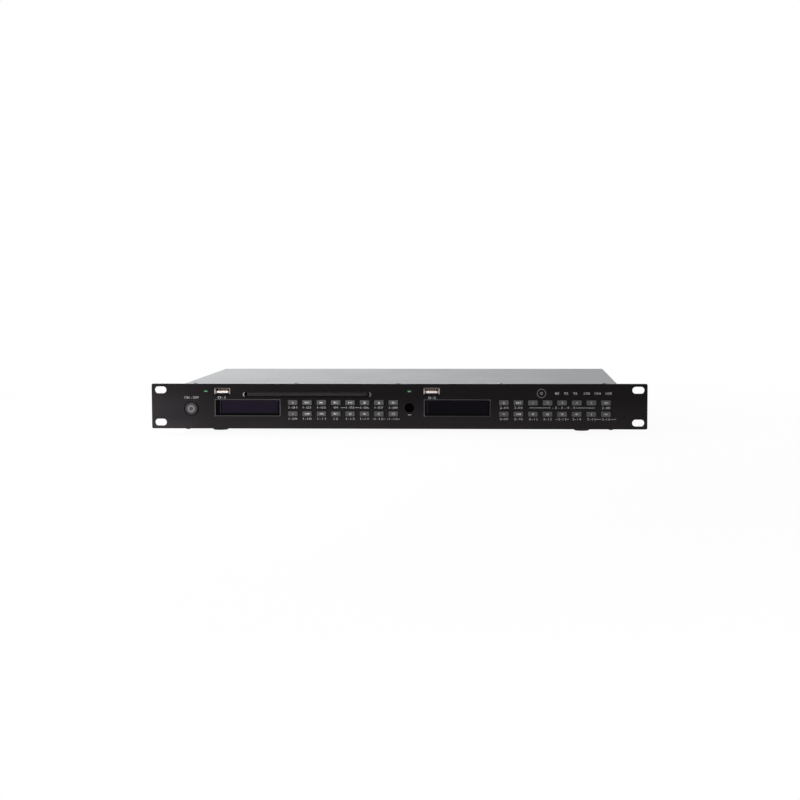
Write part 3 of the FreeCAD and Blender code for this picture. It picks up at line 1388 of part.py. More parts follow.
def power_board():
    plate = deck_board("power_plate", "power_left", "power_right", "power_front_y", "power_back",
                       POWER_STANDOFFS)
    middle, front = "(power_left + power_right) / 2", "power_front_y + "
    parts = [on_deck("transformer", middle, front + "transformer_y",
                     "transformer_wide", "transformer_wide", "transformer_high"),
             on_deck("heat_sink", middle, front + "heat_sink_y",
                     "heat_sink_wide", "heat_sink_deep", "heat_sink_high"),
             on_deck("fuse", middle, "power_back - fuse_gap", "fuse_wide", "fuse_deep", "fuse_wide"),
             drum("reservoir", "reservoir_r", "reservoir_high", middle, front + "reservoir_y", "deck")]
    return fuse("power_board", [plate] + parts)


def tuner_module():
    """Screened tuner with its aerial socket through the rear wall."""
    back = "rear_inner - side_gap"
    middle = "deck + tuner_high / 2"
    can = block("tuner_can", "tuner_x - tuner_wide / 2", "tuner_x + tuner_wide / 2",
                back + " - tuner_deep", back, "deck", "deck + tuner_high")
    barrel = drum("aerial_barrel", "aerial_r", "aerial_long", "tuner_x", back, middle, "back")
    bore = drum("aerial_bore", "aerial_bore_r", "aerial_long - sheet", "tuner_x",
                back + " + sheet", middle, "back")
    return cut("tuner_module", fuse("tuner_solid", [can, barrel]), bore)


def audio_jacks():
    """Four phono jacks in one block on the board."""
    back = "rear_inner - side_gap"
    half = "(jack_pitch + side_gap)"
    base = block("jack_block", "jack_x - " + half, "jack_x + " + half,
                 back + " - jack_block_deep", back, "deck", "deck + jack_block_high")
    barrels = [drum("jack_barrel", "jack_r", "jack_long", across, back, up, "back")
               for across, up in JACKS]
    bores = [drum("jack_bore", "jack_bore_r", "jack_long", across, back + " + sheet", up, "back")
             for across, up in JACKS]
    return cut("audio_jacks", fuse("jack_solid", [base] + barrels), fuse("jack_bores", bores))


def mains_inlet():
    """Three-pin inlet clipped into the rear wall."""
    body = new_body("mains_inlet")
    face = "rear_outer + inlet_flange_thick"
    shell = centred(sketch_on(body, "inlet_shell", "front", "rear_outer"), "0", "0",
                    "inlet_wide", "inlet_high")
    pad(body, shell, "inlet_deep", -1)
    flange = centred(sketch_on(body, "inlet_flange", "front", "rear_outer"), "0", "0",
                     "inlet_wide + 2 * inlet_flange", "inlet_high + 2 * inlet_flange")
    pad(body, flange, "inlet_flange_thick")
    half, high = "inlet_cavity_wide / 2", "inlet_cavity_high / 2"
    corner = "inlet_cavity_high / 4"
    cavity = polygon(sketch_on(body, "inlet_cavity", "front", face), [
        ("-" + half, "-" + high), (half, "-" + high), (half, high + " - " + corner),
        (half + " - " + corner, high), (corner + " - " + half, high), ("-" + half, high + " - " + corner)])
    pocket(body, cavity, "inlet_cavity_deep", -1)
    pins = sketch_on(body, "inlet_pins", "front", face + " - inlet_cavity_deep")
    for across, up in (("-inlet_pin_x", "-inlet_pin_step"), ("inlet_pin_x", "-inlet_pin_step"),
                       ("0", "inlet_pin_step")):
        centred(pins, across, up, "inlet_pin_wide", "inlet_pin_high")
    pad(body, pins, "inlet_cavity_deep - inlet_pin_back")
    return put(body, "inlet_x", "0", "inlet_z")


def ribbon(name, x, front, back, low, plug_z):
    """A flat cable from a front board to the main board, sagging to the floor between plugs."""
    body = new_body(name)
    left, right = x + " - ribbon_wide / 2", x + " + ribbon_wide / 2"
    front_plug = rectangle(sketch_on(body, name + "_plug", "side", left), front,
                           front + " + ribbon_plug_deep", plug_z, plug_z + " + ribbon_plug_high")
    pad(body, front_plug, "ribbon_wide")
    mid = plug_z + " + ribbon_plug_high / 2"
    start, end = front + " + ribbon_plug_deep", back + " - ribbon_plug_deep"
    drop = "ribbon_bend"
    line = [(start, mid), (start + " + " + drop, mid), (start + " + 2 * " + drop, low + " + ribbon_thick"),
            (end + " - 2 * " + drop, low + " + ribbon_thick"),
            (end + " - " + drop, "deck + ribbon_thick * 2"), (end, "deck + ribbon_thick * 2")]
    under = [(across, up + " - ribbon_thick") for across, up in reversed(line)]
    strip = polygon(sketch_on(body, name + "_strip", "side", left), line + under)
    pad(body, strip, "ribbon_wide")
    back_plug = rectangle(sketch_on(body, name + "_end", "side", left),
                          end, end + " + 2 * ribbon_plug_deep", "deck", "deck + ribbon_plug_high")
    pad(body, back_plug, "ribbon_wide")
    return body


def ribbon_cables():
    low = "tray_floor + seat_gap"
    places = (("left_ribbon", "main_left + ribbon_wide / 2 + 2 * standoff_inset"),
              ("right_ribbon", "(main_left + main_right) / 2"))
    back, plug_z = "main_front_y + 2 * ribbon_plug_deep", "board_bottom + ribbon_plug_rise"
    return group("ribbon_cables", [ribbon(name, x, "board_back", back, low, plug_z)
                                   for name, x in places])


# ---------------------------------------------------------------- build, check and write
def fill_sheet():
    for row, (name, value) in enumerate(SIZES.items(), 1):
        dims.set("A{}".format(row), name)
        dims.set("B{}".format(row), str(value))
        dims.setAlias("B{}".format(row), name)
    DOC.recompute()


def check_document():
    for item in DOC.Objects:
        if "Invalid" in item.State or "Error" in item.State:
            raise RuntimeError("failed: {} {}".format(item.Name, item.State))
        if item.TypeId == "PartDesign::Pocket":
            before = item.BaseFeature.Shape.Volume
            if item.Shape.Volume > before - 0.001:
                raise RuntimeError("cuts nothing: " + item.Name)


def write_parts(parts):
    os.makedirs("parts", exist_ok=True)
    for part in parts:
        shape = part.Shape
        if shape.isNull() or not shape.isValid() or not shape.Solids:
            raise RuntimeError("bad shape: " + part.Label)
        shape.exportStep("parts/{}.step".format(part.Label))


DOC = FreeCAD.newDocument("rack_disc_player")
dims = DOC.addObject("Spreadsheet::Sheet", "dims")
fill_sheet()
PARTS = [front_panel(), chassis_tray(), top_cover(), feet(), case_screws(), slot_felt(), display_windows(),
         display_modules(), usb_sockets(), status_lights(), ir_receiver(), key_boards(), standby_button(),
         mech_base(), disc_guide(), feed_roller(), loading_pinion(), drive_motors(), disc_turntable(),
         clamp_arm(), laser_sled(), sled_screw(), main_board(), power_board(), tuner_module(),
         audio_jacks(), mains_inlet(), ribbon_cables()] + keys()
DOC.recompute()
check_document()
write_parts(PARTS)
print("wrote", len(PARTS), "sub-parts")
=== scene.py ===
import json
import math

import bmesh
import bpy
from mathutils import Matrix, Vector

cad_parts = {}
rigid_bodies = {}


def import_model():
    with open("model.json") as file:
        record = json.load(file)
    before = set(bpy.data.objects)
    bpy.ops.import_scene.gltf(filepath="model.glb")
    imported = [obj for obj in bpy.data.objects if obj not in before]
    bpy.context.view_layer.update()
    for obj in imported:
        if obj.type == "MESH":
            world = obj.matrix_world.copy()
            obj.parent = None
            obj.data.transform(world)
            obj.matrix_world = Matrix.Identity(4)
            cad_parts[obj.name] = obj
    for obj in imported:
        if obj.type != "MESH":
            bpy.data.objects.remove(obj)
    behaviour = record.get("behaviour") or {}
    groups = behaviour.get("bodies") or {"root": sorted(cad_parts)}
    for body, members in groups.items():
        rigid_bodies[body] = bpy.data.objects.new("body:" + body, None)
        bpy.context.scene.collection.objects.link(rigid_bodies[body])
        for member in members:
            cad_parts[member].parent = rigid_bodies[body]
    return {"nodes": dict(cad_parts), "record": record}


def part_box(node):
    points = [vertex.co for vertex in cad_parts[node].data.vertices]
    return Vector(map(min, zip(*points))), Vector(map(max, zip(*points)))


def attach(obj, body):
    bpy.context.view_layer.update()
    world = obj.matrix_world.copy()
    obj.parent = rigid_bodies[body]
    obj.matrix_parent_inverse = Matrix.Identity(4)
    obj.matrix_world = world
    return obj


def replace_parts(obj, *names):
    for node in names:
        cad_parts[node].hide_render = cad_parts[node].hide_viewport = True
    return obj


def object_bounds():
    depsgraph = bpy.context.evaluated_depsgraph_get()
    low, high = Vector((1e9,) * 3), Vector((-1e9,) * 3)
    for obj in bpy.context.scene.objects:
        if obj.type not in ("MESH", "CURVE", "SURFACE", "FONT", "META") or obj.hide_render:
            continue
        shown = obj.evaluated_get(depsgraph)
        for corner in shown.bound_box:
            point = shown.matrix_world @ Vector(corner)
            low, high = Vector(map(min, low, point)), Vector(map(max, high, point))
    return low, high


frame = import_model()
cad_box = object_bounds()

MM = 0.001
CHASSIS = "chassis"


# ---------------------------------------------------------------- places, all in millimetres

def sides(node):
    """The low and the high corner of a CAD node's box."""
    return [[value / MM for value in corner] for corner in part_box(node)]


def middle(node):
    """The middle of a CAD node's box."""
    return [(low + high) / 2 for low, high in zip(*sides(node))]


def mount(name):
    """The place that the record gives to a mount."""
    places = {entry["name"]: entry["pos_m"] for entry in frame["record"]["mounts"]}
    return [value / MM for value in places[name]]


def pair(node, wide):
    """The x of the left and of the right one of two equal things in a CAD node, each of a width."""
    low, high = sides(node)
    return low[0] + wide / 2, high[0] - wide / 2


PANEL_HALF_X, _, PANEL_HALF_Z = sides("front_panel")[1]
PANEL_FACE = round(sides("front_panel")[0][1], 3)
KEY_FACE = round(sides("disc_key_eject")[0][1], 3)
WINDOW_LONG = 65.4
WINDOWS = pair("display_windows", WINDOW_LONG)
WINDOW_Z = middle("display_windows")[2]
LIGHT_LONG = 6.0
LIGHTS = pair("status_lights", LIGHT_LONG)
SOCKETS = (mount("usb_left")[0], mount("usb_right")[0])
SOCKET_Z = mount("usb_left")[2]
SLOT_X, _, SLOT_Z = mount("disc_slot")
SLOT_END = 60.45  # from the slot's middle to the centre of each rounded end


# ---------------------------------------------------------------- camera

def aim(place, pitch, yaw, roll):
    """A camera's matrix: the row frame's y axis runs away from it, z is up, angles in degrees."""
    p, y, r = (math.radians(angle) for angle in (pitch, yaw, roll))
    turn = Matrix(((math.cos(y), math.sin(y), 0), (-math.sin(y), math.cos(y), 0), (0, 0, 1)))
    level = Matrix(((1, 0, 0), (0, 0, -1), (0, 1, 0)))
    tip = Matrix(((1, 0, 0), (0, math.cos(p), -math.sin(p)), (0, math.sin(p), math.cos(p))))
    bank = Matrix(((math.cos(r), -math.sin(r), 0), (math.sin(r), math.cos(r), 0), (0, 0, 1)))
    right, down, forward = bank @ tip @ level @ turn
    across = Matrix((right, -down, -forward)).transposed()
    return Matrix.Translation(Vector(place) * MM) @ across.to_4x4()


# The camera stands where a fit to the panel's and the cover's edges in the photograph puts it.
camera = bpy.data.objects.new("camera", bpy.data.cameras.new("camera"))
bpy.context.scene.collection.objects.link(camera)
camera.data.lens = 75.23
camera.data.sensor_width = 36
camera.data.clip_end = 50
camera.matrix_world = aim((103.2, -1618.9, 132.3), 4.453, 3.565, -0.194)
bpy.context.scene.camera = camera
bpy.context.scene.view_settings.view_transform = "Standard"


# ---------------------------------------------------------------- node trees and materials

class Nodes:
    """A node tree, with the sums, steps and mixes that are built in it."""

    def __init__(self, tree):
        self.tree = tree

    def add(self, kind, settings=None, *inputs):
        """A node, its settings by name and its inputs in order; None leaves one as it is."""
        node = self.tree.nodes.new(kind)
        for name, value in (settings or {}).items():
            setattr(node, name, value)
        for socket, value in zip(node.inputs, inputs):
            if value is not None:
                self.put(socket, value)
        return node

    def put(self, socket, value):
        """A link from another socket, or a plain value."""
        if isinstance(value, bpy.types.NodeSocket):
            self.tree.links.new(value, socket)
        else:
            socket.default_value = value

    def math(self, operation, *inputs):
        return self.add("ShaderNodeMath", {"operation": operation}, *inputs).outputs[0]

    def rise(self, value, low, high, bottom=0.0, top=1.0):
        """A smooth step, from bottom where the value is low to top where it is high."""
        node = self.add("ShaderNodeMapRange", {"interpolation_type": "SMOOTHSTEP"},
                        value, low, high, bottom, top)
        return node.outputs[0]

    def both(self, *masks):
        """1 where each mask is 1."""
        made = masks[0]
        for mask in masks[1:]:
            made = self.math("MULTIPLY", made, mask)
        return made

    def either(self, *masks):
        """1 where any mask is 1."""
        made = masks[0]
        for mask in masks[1:]:
            made = self.math("MAXIMUM", made, mask)
        return made

    def mix(self, kind, mask, first, second, slots):
        """A mix node's result: the first where the mask is 0, and the second where it is 1."""
        node = self.add("ShaderNodeMix", {"data_type": kind})
        for index, value in zip(slots, (mask, first, second)):
            self.put(node.inputs[index], value)
        return node

    def blend(self, mask, first, second):
        """The first colour where the mask is 0, and the second where it is 1."""
        return self.mix("RGBA", mask, first, second, (0, 6, 7)).outputs[2]

    def level(self, mask, first, second):
        """The first number where the mask is 0, and the second where it is 1."""
        return self.mix("FLOAT", mask, first, second, (0, 2, 3)).outputs[0]

    def backdrop_rays(self):
        """1 for the rays that see the backdrop: the camera's own, and those of gloss and glass."""
        seen = self.add("ShaderNodeLightPath").outputs
        return self.either(seen["Is Camera Ray"], seen["Is Glossy Ray"], seen["Is Transmission Ray"])


class Look(Nodes):
    """A material made of nodes. Its patterns are laid out in the object's own metres."""

    def __init__(self, name):
        self.material = bpy.data.materials.new(name)
        self.material.use_nodes = True
        super().__init__(self.material.node_tree)
        self.shader = self.tree.nodes["Principled BSDF"]
        self.place = self.add("ShaderNodeTexCoord").outputs["Object"]
        self.x, self.y, self.z = self.add("ShaderNodeSeparateXYZ", {}, self.place).outputs

    def noise(self, scale, detail=3.0, stretch=(1, 1, 1)):
        """Noise of so many features to the metre, drawn out along an axis by a small stretch."""
        laid = self.add("ShaderNodeVectorMath", {"operation": "MULTIPLY"}, self.place, stretch)
        return self.add("ShaderNodeTexNoise", {}, laid.outputs[0], None, scale, detail).outputs[0]

    def fade(self, coordinate, low, high, bottom=0.0, top=1.0):
        """A smooth step over a coordinate, from bottom at low to top at high, in millimetres."""
        return self.rise(coordinate, low * MM, high * MM, bottom, top)

    def band(self, coordinate, low, high, soft=0.02):
        """1 between low and high millimetres, 0 outside."""
        up = self.fade(coordinate, low - soft, low + soft)
        down = self.fade(coordinate, high - soft, high + soft)
        return self.math("SUBTRACT", up, down)

    def bands(self, coordinate, places, low, high, soft=0.02):
        """1 between low and high millimetres from any of the places."""
        return self.either(*(self.band(coordinate, at + low, at + high, soft) for at in places))

    def stripes(self, coordinate, pitch, low, high):
        """Stripes a pitch of so many millimetres apart, whose edges fade as a sine goes from low to high."""
        wave = self.math("SINE", self.math("MULTIPLY", coordinate, 2 * math.pi / (pitch * MM)))
        return self.rise(wave, low, high)

    def round(self, across, up, at, radius, soft=0.03):
        """1 within a radius of a point, in the plane of two coordinates; all in millimetres."""
        side = self.math("SUBTRACT", across, at[0] * MM)
        rise = self.math("SUBTRACT", up, at[1] * MM)
        square = self.math("ADD", self.math("MULTIPLY", side, side), self.math("MULTIPLY", rise, rise))
        return self.fade(self.math("SQRT", square), radius - soft, radius + soft, 1.0, 0.0)

    def tracks(self, across, up):
        """Copper runs on a board: fine parallel lines, along it in some patches and across in others."""
        first, second = (self.stripes(axis, 1.9, 0.1, 0.4) for axis in (across, up))
        turn = self.rise(self.noise(75, 0.0), 0.49, 0.5)
        laid = self.rise(self.noise(48, 1.0), 0.44, 0.45)
        return self.both(laid, self.either(self.both(first, turn),
                                           self.both(second, self.math("SUBTRACT", 1.0, turn))))

    def paint(self, zones, vary=0.1, patch=45.0, spread=0.06, grain=1500.0, depth=0.02,
              stretch=(1, 1, 1), grain_stretch=(1, 1, 1), detail=3.0):
        """Colour, roughness and metal by zone, with a patchy tone, a patchy gloss and a fine grain.

        Each zone is (mask, colour, roughness, metal); the first one, with no mask, is all of it."""
        (_, colour, rough, metal), rest = zones[0], zones[1:]
        colour = (*colour, 1.0)
        mixed = any(zone[3] != metal for zone in rest)
        for mask, tint, gloss, metallic in rest:
            colour = self.blend(mask, colour, (*tint, 1.0))
            rough = self.level(mask, rough, gloss)
            if mixed:
                metal = self.level(mask, metal, metallic)
        tone = self.noise(patch, 4.0, stretch)
        shade = self.rise(tone, 0.3, 0.7, 1 - vary, 1 + vary)
        tinted = self.add("ShaderNodeVectorMath", {"operation": "SCALE"}, colour if rest else colour[:3])
        self.put(tinted.inputs["Scale"], shade)
        self.put(self.shader.inputs["Base Color"], tinted.outputs[0])
        worn = self.rise(self.noise(patch * 2.3, 3.0, stretch), 0.3, 0.7, -spread, spread)
        self.put(self.shader.inputs["Roughness"], self.math("ADD", worn, rough))
        self.put(self.shader.inputs["Metallic"], metal)
        bump = self.add("ShaderNodeBump")
        self.put(bump.inputs["Strength"], 1.0)
        self.put(bump.inputs["Distance"], depth * MM)
        self.put(bump.inputs["Height"], self.noise(grain, detail, grain_stretch))
        self.put(self.shader.inputs["Normal"], bump.outputs[0])
        return self

    def gloss(self, specular):
        """How strongly the whole surface mirrors; 0.5 is a shader's usual value."""
        self.put(self.shader.inputs["Specular IOR Level"], specular)
        return self


def simple(name, colour, rough, metal=0.0, specular=0.5, **detail):
    """A material of one finish, with its grain and its uneven tone."""
    return Look(name).paint([(None, colour, rough, metal)], **detail).gloss(specular)


def felt(name, colour, **detail):
    """Short pile with a soft sheen."""
    look = simple(name, colour, 0.95, specular=0.1, grain=4200, detail=6.0, **detail)
    look.put(look.shader.inputs["Sheen Weight"], 0.1)
    look.put(look.shader.inputs["Sheen Roughness"], 0.5)
    return look


def dress(look, *nodes):
    """Gives a material to CAD nodes, in place of what they came with."""
    for name in nodes:
        mesh = bpy.data.objects[name].data
        mesh.materials.clear()
        mesh.materials.append(look.material)


# ---------------------------------------------------------------- mesh helpers

def piece(name, bm, look, body=CHASSIS, smooth=False):
    """A finished piece that rides on a body. Coordinates in the mesh are in the row frame."""
    mesh = bpy.data.meshes.new(name)
    bm.to_mesh(mesh)
    bm.free()
    mesh.materials.append(look.material)
    if smooth:
        mesh.polygons.foreach_set("use_smooth", [True] * len(mesh.polygons))
    made = bpy.data.objects.new(name, mesh)
    bpy.context.scene.collection.objects.link(made)
    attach(made, body)
    return made


def skin(bm, rows, turned=False):
    """Faces between rows of corners and over both end rows, turned for rows that go the other way round."""
    bm.faces.new(rows[0][::-1] if turned else rows[0])
    bm.faces.new(rows[-1] if turned else rows[-1][::-1])
    for near, far in zip(rows, rows[1:]):
        for i in range(len(near)):
            if turned:
                bm.faces.new((near[i - 1], near[i], far[i], far[i - 1]))
            else:
                bm.faces.new((near[i - 1], far[i - 1], far[i], near[i]))


def stamp(bm, outline, front, back):
    """A flat shape standing in the panel's plane: (x, z) points, from y front to y back."""
    skin(bm, [[bm.verts.new((x * MM, y * MM, z * MM)) for x, z in outline] for y in (front, back)])


def rectangle(at, wide, high):
    x, z = at
    return [(x - wide / 2, z - high / 2), (x + wide / 2, z - high / 2),
            (x + wide / 2, z + high / 2), (x - wide / 2, z + high / 2)]


def sweep(at, radius, start, end, steps=20):
    """Points along an arc from one angle to another, in degrees."""
    angles = [math.radians(start + (end - start) * i / steps) for i in range(steps + 1)]
    return [(at[0] + radius * math.cos(a), at[1] + radius * math.sin(a)) for a in angles]


def arc(at, outer, inner, start, end):
    """A band of a ring from one angle to another, in degrees."""
    return sweep(at, outer, start, end) + sweep(at, inner, start, end)[::-1]


def dot(at, radius, steps=16):
    """A filled circle."""
    return sweep(at, radius, 0, 360, steps)[:-1]


def ring(at, outer, inner):
    """A whole ring, as two halves."""
    return [arc(at, outer, inner, 0, 180), arc(at, outer, inner, 180, 360)]


def pointer(at, size, facing):
    """A triangle that points right (1) or left (-1)."""
    x, z = at
    back, tip = x - facing * size / 2, x + facing * size / 2
    return [(back, z - size / 2), (tip, z), (back, z + size / 2)]


def peak(at, size, facing):
    """A triangle that points up (1) or down (-1)."""
    x, z = at
    rise = facing * size / 2.4
    return [(x - size / 2, z - rise), (x + size / 2, z - rise), (x, z + rise)]


def figures(bm, text, at, high, front, back, wide=None):
    """Plain figures, centred on a point of the panel's plane and drawn out to a width."""
    curve = bpy.data.curves.new("figures", "FONT")
    curve.body = text
    curve.size = high * 1.38 * MM
    curve.align_x = "CENTER"
    curve.align_y = "CENTER"
    curve.resolution_u = 3
    curve.extrude = (back - front) / 2 * MM
    holder = bpy.data.objects.new("figures", curve)
    made = bpy.data.meshes.new_from_object(holder)
    left, right = (end(vert.co.x for vert in made.vertices) for end in (min, max))
    draw = wide * MM / (right - left) if wide else 1.0
    made.transform(Matrix.Diagonal((draw, 1, 1, 1)) @ Matrix.Translation((-(right + left) / 2, 0, 0)))
    place = Vector((at[0], (front + back) / 2, at[1])) * MM
    made.transform(Matrix.Translation(place) @ Matrix.Rotation(math.pi / 2, 4, "X"))
    bm.from_mesh(made)
    bpy.data.objects.remove(holder)
    bpy.data.curves.remove(curve)
    bpy.data.meshes.remove(made)


# ---------------------------------------------------------------- the CAD nodes' materials

# Front panel: black anodised sheet, brushed along its length. Painted light: it is lighter and a little
# duller towards its foot, lighter again at its left end and at its lower left corner, and its rim is lighter,
# partly from wear and partly a painted edge highlight. A painted shadow darkens the lip under the disc slot.
# The cut edges of the window openings are bare and carry painted highlights, some brighter than others, as in
# the photograph.
look = Look("panel_anodised")
# Painted light: the panel is lighter towards its foot.
painted_light_low = look.fade(look.z, 12, -23)
rim = look.either(look.fade(look.z, PANEL_HALF_Z - 1.0, PANEL_HALF_Z - 0.1),
                  look.fade(look.z, 1.4 - PANEL_HALF_Z, 0.1 - PANEL_HALF_Z),
                  look.fade(look.x, PANEL_HALF_X - 1.0, PANEL_HALF_X - 0.1),
                  look.fade(look.x, 1.0 - PANEL_HALF_X, 0.1 - PANEL_HALF_X))
# The rim is lighter, partly from wear and partly a painted edge highlight.
wear_and_edge_highlight = look.both(rim, look.rise(look.noise(160, 4.0), 0.35, 0.65, 0.4, 1.0))
# Painted highlights on the cut edges of the window openings, brighter on some edges than on others.
cut_edges_and_highlight = look.both(look.band(look.y, PANEL_FACE + 0.03, PANEL_FACE + 0.65),
                 look.band(look.z, WINDOW_Z - 8.35, WINDOW_Z + 8.35),
                 look.bands(look.x, WINDOWS, -32.35, 32.35))
left_window_highlight = look.both(cut_edges_and_highlight, look.fade(look.x, -60, -90))
left_sill_highlight = look.both(left_window_highlight, look.fade(look.z, WINDOW_Z - 7, WINDOW_Z - 7.5))
right_top_highlight = look.both(cut_edges_and_highlight, look.fade(look.x, 0, 20), look.fade(look.z, WINDOW_Z + 7, WINDOW_Z + 7.5))
window_left_end_highlights = look.both(cut_edges_and_highlight, look.bands(look.x, WINDOWS, -32.5, -31.3, 0.2))
# Painted light at the left end, and a painted highlight at the lower left corner.
painted_light_left = look.both(look.fade(look.x, -165, -241), look.fade(look.z, 22, -2, 0.2, 1.0))
painted_highlight_low_left = look.both(look.fade(look.x, -180, -222), look.fade(look.z, -10, -23))
# A painted shadow on the lip under the disc slot.
painted_shadow_lip = look.both(look.band(look.z, SLOT_Z - 3.4, SLOT_Z - 2.2, 0.15),
                look.band(look.x, SLOT_X - 60.6, SLOT_X + 60.6, 0.5))
look.paint([(None, (0.0034, 0.0025, 0.0031), 0.36, 0.0), (painted_light_low, (0.011, 0.0091, 0.0102), 0.4, 0.0),
            (painted_light_left, (0.0155, 0.0125, 0.015), 0.42, 0.0), (painted_highlight_low_left, (0.0255, 0.021, 0.0245), 0.42, 0.0),
            (painted_shadow_lip, (0.0004, 0.0003, 0.0003), 0.4, 0.0), (wear_and_edge_highlight, (0.012, 0.0105, 0.0115), 0.36, 0.0),
            (cut_edges_and_highlight, (0.04, 0.038, 0.04), 0.4, 0.0), (left_window_highlight, (0.095, 0.09, 0.095), 0.4, 0.0),
            (left_sill_highlight, (0.058, 0.055, 0.058), 0.4, 0.0), (right_top_highlight, (0.095, 0.09, 0.095), 0.4, 0.0),
            (window_left_end_highlights, (0.17, 0.16, 0.17), 0.4, 0.0)],
           vary=0.14, patch=30, spread=0.03, stretch=(0.25, 1, 1),
           grain=260, depth=0.008, grain_stretch=(0.06, 1, 9))
dress(look.gloss(0.08), "front_panel")

dress(simple("cover_grey", (0.292, 0.298, 0.306), 0.7, vary=0.015, patch=9, spread=0.03,
             grain=1700, depth=0.03, specular=0.06), "top_cover")
dress(simple("zinc_sheet", (0.5, 0.51, 0.52), 0.42, 0.85, vary=0.045, patch=170, spread=0.05,
             grain=700, depth=0.012), "chassis_tray")
dress(simple("foot_rubber", (0.018, 0.018, 0.018), 0.75, vary=0.2, patch=220, grain=2600, depth=0.05,
             specular=0.3), "feet")
dress(felt("felt", (0.011, 0.01, 0.01), vary=0.3, patch=900, depth=0.12, grain_stretch=(0.4, 1, 1.4)),
      "slot_felt")

# Display windows: smoked acrylic. The lit areas are a shade bluer than the black border around them,
# the left one most of all. A pale line at the left end of each and a pale brow over the left one are painted
# highlights, where the module's frame catches the light.
look = Look("smoked_window")
left, right = WINDOWS
tall = look.band(look.z, WINDOW_Z - 5.2, WINDOW_Z + 6.6, 0.35)
lit = look.both(tall, look.either(look.band(look.x, left - 25.4, left + 29.6, 0.25),
                                  look.band(look.x, right - 27.4, right + 29.4, 0.25)))
# Painted highlights: a line at the left end of each window and a brow over the left one.
frame_highlight_line = look.both(tall, look.either(look.band(look.x, left - 27.1, left - 26.3, 0.15),
                                   look.band(look.x, right - 29.2, right - 28.5, 0.15)))
frame_highlight_brow = look.both(look.band(look.z, WINDOW_Z + 6.5, WINDOW_Z + 7.4, 0.2),
                 look.band(look.x, left - 27.1, left + 30.2, 0.25))
lit_left = look.both(lit, look.fade(look.x, -20, -60))
look.paint([(None, (0.0006, 0.0004, 0.0006), 0.1, 0.0), (lit, (0.0022, 0.0016, 0.0034), 0.1, 0.0),
            (lit_left, (0.0076, 0.0053, 0.0115), 0.1, 0.0), (frame_highlight_brow, (0.0095, 0.0082, 0.011), 0.14, 0.0),
            (frame_highlight_line, (0.016, 0.014, 0.019), 0.14, 0.0)],
           vary=0.06, patch=60, spread=0.02, grain=300, depth=0.002)
dress(look.gloss(0.04), "display_windows")

dress(simple("module_board", (0.02, 0.02, 0.02), 0.6, vary=0.15, patch=120), "display_modules")

# Status lights: green lenses lit from below, brightest in the middle.
look = Look("green_light")
height = look.both(look.fade(look.z, 15.5, 14.2), look.fade(look.z, 13.9, 14.25))
spots = [look.fade(look.math("ABSOLUTE", look.math("SUBTRACT", look.x, at * MM)), 0.3, 2.2, 1.0, 0.03)
         for at in LIGHTS]
glow = look.both(height, look.either(*spots))
look.paint([(None, (0.004, 0.014, 0.006), 0.3, 0.0)], vary=0.06, patch=900, spread=0.03, depth=0.01)
look.put(look.shader.inputs["Emission Color"],
         look.blend(glow, (0.0, 0.012, 0.003, 1), (0.235, 0.5, 0.265, 1)))
look.put(look.shader.inputs["Emission Strength"], 1.0)
dress(look.gloss(0.1), "status_lights")

dress(simple("infrared_filter", (0.0004, 0.0003, 0.0004), 0.14, specular=0.012, vary=0.1, patch=80,
             spread=0.02, grain=300, depth=0.002), "ir_receiver")

# USB sockets: bright nickel shells, with a white tongue inside each. The right shell's brighter tone is
# painted light, and the darker roof, sill and inside of each shell are painted shade.
look = Look("usb_nickel")
tongue = look.both(look.band(look.z, SOCKET_Z - 1.5, SOCKET_Z + 0.5), look.fade(look.y, -2.2, -2.0),
                   look.bands(look.x, SOCKETS, -5.65, 5.65))
# Painted shade deep in each shell, on its roof and on its sill; painted light on the right shell.
painted_shade_deep = look.fade(look.y, -1.4, 2.0)
painted_light_right_socket = look.fade(look.x, -20, 20)
painted_shade_roof = look.fade(look.z, SOCKET_Z + 2.6, SOCKET_Z + 3.2)
painted_shade_right_roof = look.both(painted_shade_roof, painted_light_right_socket)
painted_shade_sill = look.fade(look.z, SOCKET_Z - 2.2, SOCKET_Z - 2.7)
look.paint([(None, (0.52, 0.46, 0.44), 0.25, 1.0), (painted_light_right_socket, (0.68, 0.6, 0.575), 0.25, 1.0),
            (painted_shade_roof, (0.06, 0.05, 0.045), 0.35, 1.0), (painted_shade_right_roof, (0.16, 0.135, 0.12), 0.35, 1.0),
            (painted_shade_sill, (0.012, 0.01, 0.01), 0.4, 1.0), (painted_shade_deep, (0.12, 0.105, 0.1), 0.35, 1.0),
            (tongue, (0.6, 0.55, 0.52), 0.4, 0.0)],
           vary=0.06, patch=300, spread=0.05, grain=2200, depth=0.006)
dress(look, "usb_sockets")

# Boards: solder-resist green over copper runs, and the darker parts that stand on them. On the main
# board and the power board, parts in some patches are a little paler.
RESIST = (0.018, 0.12, 0.045)
COPPER = (0.03, 0.19, 0.07)

look = Look("key_board")
switch = look.fade(look.y, 8.05, 7.95)
look.paint([(None, RESIST, 0.4, 0.0), (look.tracks(look.x, look.z), COPPER, 0.35, 0.0),
            (switch, (0.05, 0.05, 0.05), 0.5, 0.0)], vary=0.06, patch=60)
dress(look, "key_boards")

look = Look("main_board")
parts = look.fade(look.z, -12.85, -12.8)
pale_parts = look.both(parts, look.rise(look.noise(45, 0.0), 0.48, 0.5))
look.paint([(None, RESIST, 0.4, 0.0), (look.tracks(look.x, look.y), COPPER, 0.35, 0.0),
            (parts, (0.015, 0.015, 0.017), 0.5, 0.0), (pale_parts, (0.03, 0.03, 0.034), 0.4, 0.0)],
           vary=0.06, patch=60)
dress(look, "main_board", "power_board")

